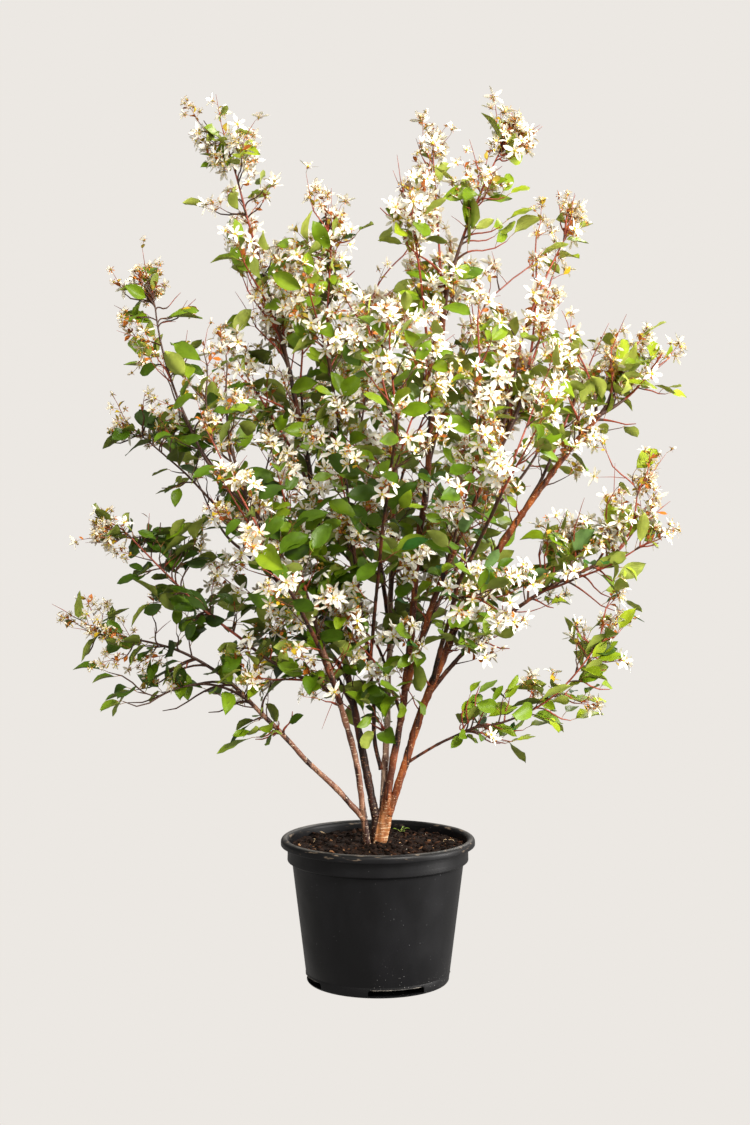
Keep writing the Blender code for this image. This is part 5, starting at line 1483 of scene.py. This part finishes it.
def bud_form():
    """An unopened flower along +X."""
    shape = bmesh.new()
    bmesh.ops.create_icosphere(shape, subdivisions=1, radius=1)
    bud = shape_of(shape)
    return bud._replace(corners=bud.corners * np.array([0.0036, 0.0018, 0.0018]) + np.array([0.003, 0, 0]))


# Leaf tones from the darkest to the lightest, partly the leaves' own colours and partly painted
# light and shade: upper side, under side
TONES = (
    ("leaves_deep", (40, 60, 8), (78, 88, 30)),
    ("leaves_dark", (58, 84, 10), (98, 110, 40)),
    ("leaves_green", (80, 110, 12), (120, 132, 50)),
    ("leaves_mid", (106, 134, 16), (140, 152, 60)),
    ("leaves_fresh", (126, 150, 22), (152, 164, 66)),
    ("leaves_tip", (148, 166, 30), (168, 178, 76)),
)
# A bluish green for some leaves on the shaded lower right: painted reflection of the pale sky
GLINT_TONE = ("leaves_cool", (58, 112, 40), (108, 140, 76))
GLINT_SHARE = 0.14  # of the leaves on the shaded lower right
# Painted light: leaves are lighter to the right, where the key light falls
TONE_SLOPE = 0.35  # leaves are lighter to the right, by this share of the tones a metre


def in_opening(point):
    """True where the camera sees the point in one of the crown's open places."""
    nearer = -CAMERA_PLACE[1] / (point.y - CAMERA_PLACE[1])
    x = CAMERA_PLACE[0] + (point.x - CAMERA_PLACE[0]) * nearer
    z = CAMERA_PLACE[2] + (point.z - CAMERA_PLACE[2]) * nearer
    away = (np.array((x, z)) - OPENINGS[:, :2]) / OPENINGS[:, 2:]
    return bool((np.sum(away**2, axis=1) < 1).any())


class Foliage:
    """The heaps that the twigs, leaves and blossom go into, and the forms that they are copies of."""

    def __init__(self, samples):
        chance = random.Random("forms")
        self.leaves = [leaf_form(chance) for _ in range(14)]
        self.bracts = [leaf_form(chance, 3, (-1, 0, 1)) for _ in range(5)]
        self.petals = [petals_form(chance) for _ in range(9)]
        self.stamens = [stamens_form(chance) for _ in range(3)]
        self.calyxes = [calyx_form(chance) for _ in range(3)]
        self.bud = bud_form()
        self.heaps = []
        self.tones = [self.leaf_heap(*tone) for tone in TONES]
        self.cool = self.leaf_heap(*GLINT_TONE)
        self.bronze = self.leaf_heap("bracts_bronze", (190, 108, 30), (172, 96, 34))
        self.golden = self.leaf_heap("bracts_golden", (196, 166, 40), (180, 156, 52))
        self.twigs = self.heap("twigs", twig_paint, twig_bark=(66, 38, 24))
        self.shoots = self.heap("shoots", twig_paint, young_shoot=(132, 56, 34))
        self.stalks = self.heap("leaf_stalks", twig_paint, leaf_stalk=(142, 96, 48))
        self.pedicels = self.heap("flower_stalks", twig_paint, flower_stalk=(150, 112, 50))
        self.white = self.heap("petals", petal_paint, petal_white=(248, 244, 231))
        self.faded = self.heap("petals_faded", petal_paint, petal_faded=(230, 223, 204))
        hearts = {"flower_heart": (200, 184, 52), "stamen_stalk": (236, 230, 168), "anther": (222, 166, 40)}
        self.hearts = self.heap("flower_hearts", petal_paint, **hearts)
        self.cups = self.heap("flower_cups", petal_paint, flower_cup=(150, 134, 66), sepal=(198, 118, 48))
        self.buds = self.heap("flower_buds", petal_paint, flower_bud=(240, 228, 208))
        self.samples = KDTree(len(samples))
        self.radii = [radius for _, radius in samples]
        for i, (point, _) in enumerate(samples):
            self.samples.insert(point, i)
        self.samples.balance()

    def heap(self, name, paint, **colours):
        """A heap with a material for each colour."""
        paints = [paint(key, srgb(*colour)) for key, colour in colours.items()]
        self.heaps.append(Heap(name, "foliage", *paints))
        return self.heaps[-1]

    def leaf_heap(self, name, upper, under):
        papers = leaf_paint(name, srgb(*upper), 0.42), leaf_paint(name + "_under", srgb(*under), 0.6)
        self.heaps.append(Heap(name, "foliage", *papers))
        return self.heaps[-1]

    def clear(self, *points):
        """True if none of the points is in a limb or outside the crown's box."""
        low, high = cad_box
        for point in points:
            _, index, away = self.samples.find(point)
            if away < self.radii[index] + LIMB_CLEAR:
                return False
            if not all(a - BOX_CLEAR < c < b + BOX_CLEAR for a, c, b in zip(low, point, high)):
                return False
            if in_opening(point):
                return False
        return True

    def leaf_tone(self, light, base, chance):
        """The heap for a leaf of a spray, whose leaves are nearly of one tone."""
        # Some shaded leaves on the lower right take the bluish tone, a painted reflection
        if base.x > 0.02 and base.z < 0.75 and chance.random() < GLINT_SHARE:
            return self.cool
        # The tone follows the spray's light and grows lighter to the right: partly the leaves' own colour
        # and partly painted light and shade
        tone = round((light + base.x * TONE_SLOPE) * 5 + chance.gauss(0, 0.55))
        return self.tones[min(len(self.tones) - 1, max(0, tone))]

    def add_leaf(self, root, outward, chance, light, size=1.0):
        """A leaf on its stalk. Its face turns up and away from the middle of the crown."""
        length = chance.uniform(*LEAF_LENGTHS) * size
        stalk = chance.uniform(*PETIOLE_LENGTHS)
        outward = outward.normalized()
        base = root + outward * stalk + UP * stalk * 0.25
        along = (outward + UP * chance.uniform(-0.55, 0.40)).normalized()
        if not self.clear(base + along * length * 0.5, base + along * length):
            return
        away = Vector((base.x, base.y, 0)).normalized()
        face = UP * 0.8 + away * 0.6 + shake(chance, 0.8)
        place = facing(base, along, face, length)
        self.leaf_tone(light, base, chance).add(chance.choice(self.leaves), place)
        bow = root.lerp(base, 0.5) + UP * stalk * 0.06
        self.stalks.add(strand_shape([root, bow, base + along * length * 0.05], [PETIOLE_RADIUS] * 3, 3))

    def add_flower(self, root, heading, length, chance, faded, open_share):
        """A flower on its pedicel, or a bud."""
        tip = root + heading * length
        if not self.clear(tip):
            return
        bow = root.lerp(tip, 0.5) - UP * length * 0.06
        self.pedicels.add(strand_shape([root, bow, tip], [PEDICEL_RADIUS] * 3, 3))
        away = Vector((tip.x, tip.y, 0)).normalized()
        face = (heading + away * 0.6 + shake(chance, 0.5)).normalized()
        old = chance.random() < faded
        size = chance.uniform(*(FADED_SIZES if old else FLOWER_SIZES))
        spin = shake(chance, 1)
        self.cups.add(chance.choice(self.calyxes), facing(tip, face, spin, 1.1))
        if chance.random() > open_share:
            self.buds.add(self.bud, facing(tip, face, spin))
            return
        place = facing(tip, face, spin, size)
        (self.faded if old else self.white).add(chance.choice(self.petals), place)
        self.hearts.add(chance.choice(self.stamens), facing(tip, face, spin, max(1.05, size * 1.15)))

    def add_raceme(self, root, heading, chance, faded):
        """A spray of blossom: flowers on short stalks round a slender stem, with small bracts."""
        length = chance.uniform(*RACEME_LENGTHS)
        heading = (heading + UP * 0.25 + shake(chance, 0.35)).normalized()
        tip = root + heading * length
        bow = root.lerp(tip, 0.5) + UP * 0.001
        self.shoots.add(strand_shape([root, bow, tip], [0.0007, 0.0006, 0.0003], 4))
        count = chance.randint(*FLOWERS)
        for k in range(count):
            share = 0.22 + 0.78 * k / max(1, count - 1)
            outward = turned(heading, GOLDEN * k + chance.uniform(-0.3, 0.3))
            lean = math.radians(72 - 45 * share)
            out = (heading * math.cos(lean) + outward * math.sin(lean)).normalized()
            stalk = chance.uniform(*PEDICEL_LENGTHS) * (1.15 - 0.4 * share)
            self.add_flower(root.lerp(tip, share), out, stalk, chance, faded, 0.95 if share < 0.8 else 0.65)
        for k in range(chance.choice((3, 4, 4, 5))):
            self.add_bract(root.lerp(tip, 0.24 * k), heading * 0.8 + turned(heading, GOLDEN * k + 1), chance)

    def add_bract(self, root, along, chance):
        """A small young leaf on a raceme, copper or golden green."""
        length = chance.uniform(*BRACT_LENGTHS)
        tip = root + along.normalized() * length
        if self.clear(tip):
            place = facing(root, along, UP + shake(chance, 0.8), length)
            bracts = self.bronze if chance.random() < BRONZE_SHARE else self.golden
            bracts.add(chance.choice(self.bracts), place)

    def add_twig(self, mass, foot, along, length, chance, thick=1.0):
        """A twig that turns from bud to bud, with leaves at its buds and blossom or leaves at its end."""
        side = along.cross(UP)
        side = side.normalized() if side.length > 0.1 else Vector((1, 0, 0))
        count = max(2, round(length / BUD_STEP))
        light = mass.light + chance.gauss(0, 0.14)
        faded = faded_share(mass)
        points = [foot]
        heading = along.normalized()
        for k in range(count):
            sway = side * (BUD_SWAY if k % 2 else -BUD_SWAY)
            heading = (heading + UP * TWIG_RISE + shake(chance, 0.12)).normalized()
            points.append(points[-1] + (heading + sway).normalized() * length / count)
        if not self.clear(points[-1], points[-1] + heading * TWIG_ROOM):
            return
        first = TWIG_RADIUS * thick
        taper = [first + (TWIG_END_RADIUS - first) * k / count for k in range(count + 1)]
        red = chance.random() < (DARK_RED_SHARE if foot.x < DARK_SIDE else RED_SHARE)
        (self.shoots if red else self.twigs).add(strand_shape(points, taper, TWIG_SIDES))
        for k in range(1, count):
            hand = 1 if k % 2 else -1
            outward = heading * 0.5 + side * hand + UP * chance.uniform(-0.5, 0.6)
            if chance.random() < mass.leafy * BUD_LEAVES:
                self.add_leaf(points[k], outward, chance, light + 0.12 * k / count)
            elif chance.random() < mass.bloom * BUD_RACEMES:
                self.add_raceme(points[k], outward, chance, faded)
        if chance.random() < mass.bloom * END_RACEMES:
            self.add_raceme(points[-1], heading, chance, faded)
            if chance.random() < END_LEAVES:
                self.add_leaf(points[-1], heading + side * chance.uniform(-1, 1), chance, light + 0.15, 0.8)
        else:
            for hand in (-0.8, 0.8):
                self.add_leaf(points[-1], heading + side * hand, chance, light + 0.15, 0.9)

    def grow(self, mass, leader, least):
        """The foliage of one mass: the solids' side twigs, finer ones between them, and its stem."""
        count = max(least, round(leader.length() / TWIG_STEP))
        for i in range(count):
            foot, along, length, chance = side_twig(mass, leader, i, count)
            self.add_twig(mass, foot, along, length * TWIG_SHARE, chance, 1.2)
        fine = round(leader.length() * mass.girth / FINE_AREA)
        for i in range(fine):
            chance = random.Random(f"{mass.name} fine {i}")
            share = 0.06 + 0.90 * (i + 0.5) / fine
            along = leaning(leader.heading(share), GOLDEN * i + 1, FINE_LEANS, share)
            length = mass.girth * chance.uniform(*FINE_LENGTHS) * (1 - 0.3 * share)
            self.add_twig(mass, leader.kinked(share), along, length, chance)
        self.add_stem(mass, leader)

    def add_stem(self, mass, leader):
        """The mass's own stem: dark below and a red young shoot above, which runs on to its tip."""
        chance = random.Random(mass.name)
        count = max(6, round(leader.length() / STEM_STEP))
        points = [leader.kinked(i / count) for i in range(count + 1)]
        radii = [leader.radius(i / count) for i in range(count + 1)]
        part = max(2, round(count * STEM_DARK))
        self.twigs.add(strand_shape(points[: part + 1], radii[: part + 1], STEM_SIDES))
        reach = at_bearing(mass.bearing, mass.reach, mass.height) - points[-1]
        bend = (reach.normalized() + leader.heading(1)).normalized()
        end = points[-1] + reach * min(SHOOT_LENGTH / reach.length, SHORT_SHARE)
        middle = points[-1] + bend * (end - points[-1]).length * 0.5
        shoot = strand_shape([*points[part:], middle, end], [*radii[part:], 0.0010, 0.0006], STEM_SIDES)
        (self.twigs if points[0].x < DARK_SIDE else self.shoots).add(shoot)
        faded = faded_share(mass)
        for i in range(3, count, 2):
            heading = leader.heading(i / count)
            outward = turned(heading, GOLDEN * i)
            if chance.random() < mass.leafy:
                self.add_leaf(points[i], outward + heading * 0.4, chance, mass.light + 0.2 * i / count)
            elif chance.random() < mass.bloom * 0.4:
                self.add_raceme(points[i], outward + heading * 0.5, chance, faded)
        heading = (end - points[-1]).normalized()
        across = heading.orthogonal().normalized()
        if chance.random() < mass.bloom * 1.5:
            self.add_raceme(end, heading, chance, faded)
            if mass.girth > SLIM_GIRTH:
                self.add_raceme(middle, heading + across, chance, faded)
        places = (points[-1], middle, end) if mass.girth > SLIM_GIRTH else (middle,)
        for k, place in enumerate(places):
            outward = turned(heading, 2.1 * k)
            if chance.random() < 0.3 + mass.leafy:
                self.add_leaf(place, heading * 0.7 + outward, chance, mass.light + 0.15 + 0.1 * k, 0.95)
        if chance.random() < mass.leafy:
            self.add_leaf(end, heading + across * 0.4, chance, mass.light + 0.3, 0.95)

    def add_spurs(self, limb, arc):
        """Short leafy twigs straight from a limb, from where its foliage begins to its tip."""
        count = round(arc.length() / SPUR_STEP)
        for i in range(count):
            share = (i + 0.5) / count
            foot = arc.kinked(share)
            if foot.z < SPUR_HEIGHT and share < SPUR_SHARE:
                continue
            chance = random.Random(f"{limb.name} spur {i}")
            if chance.random() > 0.35 + 1.3 * share:
                continue
            heading = arc.heading(share)
            along = heading * 0.5 + turned(heading, GOLDEN * i) + UP * 0.35
            spray = Mass(limb.name, limb.name, share, limb.bearing, limb.reach, foot.z, 0, *SPUR_SPRAY)
            self.add_twig(spray, foot, along, chance.uniform(*SPUR_LENGTHS), chance)


def faded_share(mass):
    """The share of faded flowers, which is greatest at the left."""
    return 0.80 if math.cos(math.radians(mass.bearing)) < -0.8 and mass.reach > 0.26 else 0.10


def leaning(heading, turn, leans, share):
    """Where a twig points that leaves a stem at a share of its length, less steeply near its foot."""
    lean = math.radians(leans[0] + (leans[1] - leans[0]) * share)
    return heading * math.cos(lean) + turned(heading, turn) * math.sin(lean) + UP * TWIG_LIFT


def side_twig(mass, leader, i, count):
    """The solids' rule for side twig i of a mass: where it leaves the stem, its heading and length."""
    chance = random.Random(f"{mass.name} {i}")
    share = TWIG_FROM + (TWIG_TO - TWIG_FROM) * (i + 0.5) / count
    turn = GOLDEN * i + chance.uniform(-TWIG_TURN_CHANCE, TWIG_TURN_CHANCE)
    along = leaning(leader.heading(share), turn, TWIG_LEANS, share)
    shorter = 1 - (1 - TWIG_TIP_SHARE) * share
    length = mass.girth * shorter * chance.uniform(TWIG_SHORTEST, 1.0)
    return leader.kinked(share), along.normalized(), length, chance


def nearest_share(tip, limb):
    """Where a sprig leaves its limb: short of the place nearest to its tip, so that it leans out."""
    shares = [0.05 + 0.95 * i / 60 for i in range(61)]
    lean = SPRIG_LEAN * limb.length()
    return min(shares, key=lambda share: (limb.kinked(share) - tip).length + lean * share)


def make_foliage(arcs):
    """Everything that grows on the limbs: masses, then sprigs, then the limbs' own spurs."""
    samples = []
    for arc in arcs.values():
        steps = max(2, round(arc.length() / SAMPLE_STEP))
        samples += [(arc.kinked(i / steps), arc.radius(i / steps)) for i in range(steps + 1)]
    foliage = Foliage(samples)
    stems = dict(arcs)
    for mass in MASSES:
        stems[mass.name] = leader_arc(mass, stems)
        foliage.grow(mass, stems[mass.name], TWIG_LEAST)
    for name, limb, *rest in SPRIGS:
        share = nearest_share(at_bearing(*rest[:3]), stems[limb])
        sprig = Mass("sprig_" + name, limb, share, *rest)
        foliage.grow(sprig, leader_arc(sprig, stems), 1)
    for limb in LIMBS:
        foliage.add_spurs(limb, arcs[limb.name])
    for heap in foliage.heaps:
        made = heap.build()
        if heap is foliage.twigs:
            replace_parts(made[0], *[mass.name for mass in MASSES])


# Stage, camera and lights

BACKGROUND = srgb(236, 232, 227)
FLOOR_LIGHT = 0.45  # what the plant gets of the floor's shade


def make_stage():
    """A plain pale floor, and a world of the same shade that lights the plant more from the right."""
    bpy.ops.mesh.primitive_circle_add(vertices=96, radius=9, fill_type="NGON", location=(0, 0, -0.0005))
    floor = bpy.context.object
    floor.name = "floor"
    material = bpy.data.materials.new("floor")
    material.use_nodes = True
    tree = material.node_tree
    tree.nodes.clear()
    seen = add_node(tree, "LightPath", {}).outputs["Is Camera Ray"]
    shade = add_node(tree, "MapRange", {"To Min": FLOOR_LIGHT, "Value": seen}).outputs["Result"]
    glow = add_node(tree, "Emission", {"Color": (*BACKGROUND, 1), "Strength": shade})
    add_node(tree, "OutputMaterial", {"Surface": glow.outputs["Emission"]})
    floor.data.materials.append(material)

    world = bpy.data.worlds.new("studio")
    bpy.context.scene.world = world
    world.use_nodes = True
    tree = world.node_tree
    tree.nodes.clear()
    seen = add_node(tree, "LightPath", {}).outputs["Is Camera Ray"]
    place = add_node(tree, "TexCoord", {}).outputs["Generated"]
    bright = Vector((0.80, -0.20, 0.56)).normalized()
    toward = add_node(tree, "VectorMath", {0: place, 1: bright}, operation="DOT_PRODUCT").outputs["Value"]
    spread = {"Value": toward, "From Min": -0.6, "From Max": 1.0, "To Min": 0.12, "To Max": 1.02}
    strength = add_node(tree, "MapRange", spread).outputs["Result"]
    lit = add_node(tree, "Background", {"Color": (1.0, 0.965, 0.90, 1), "Strength": strength})
    plain = add_node(tree, "Background", {"Color": (*BACKGROUND, 1)})
    both = {"Fac": seen, 1: lit.outputs["Background"], 2: plain.outputs["Background"]}
    mix = add_node(tree, "MixShader", both)
    add_node(tree, "OutputWorld", {"Surface": mix.outputs["Shader"]})


def add_light(name, place, aim, size, power, colour=(1, 1, 1)):
    """A square soft light that points from its place at its aim."""
    lamp = bpy.data.lights.new(name, "AREA")
    lamp.shape = "SQUARE"
    lamp.size = size
    lamp.energy = power
    lamp.color = colour
    light = bpy.data.objects.new(name, lamp)
    light.location = place
    light.rotation_euler = (Vector(aim) - Vector(place)).to_track_quat("-Z", "Y").to_euler()
    bpy.context.scene.collection.objects.link(light)


def make_lights():
    middle = (0, 0, 0.70)
    add_light("key", (1.4, -2.2, 2.3), middle, 0.9, 140, (1.0, 0.96, 0.88))
    add_light("side", (2.4, -0.5, 0.5), (0, 0, 0.15), 0.9, 60, (1.0, 0.98, 0.96))
    add_light("fill", (-1.4, -2.4, 1.2), middle, 1.6, 12, (1.0, 0.98, 0.94))
    add_light("back", (1.2, 1.8, 2.3), middle, 1.0, 34, (1.0, 0.97, 0.92))


def make_camera():
    camera = bpy.data.cameras.new("camera")
    camera.lens = CAMERA_LENS
    camera.sensor_width = 36
    holder = bpy.data.objects.new("camera", camera)
    holder.location = CAMERA_PLACE
    holder.rotation_euler = (math.radians(90 - CAMERA_TILT), 0, 0)
    bpy.context.scene.collection.objects.link(holder)
    bpy.context.scene.camera = holder


def main():
    noise.seed_set(BARK_SEED)
    make_camera()
    make_pot()
    make_soil()
    arcs = {}
    make_limbs(arcs)
    make_foliage(arcs)
    make_stage()
    make_lights()
    bpy.context.scene.view_settings.view_transform = "Standard"


main()
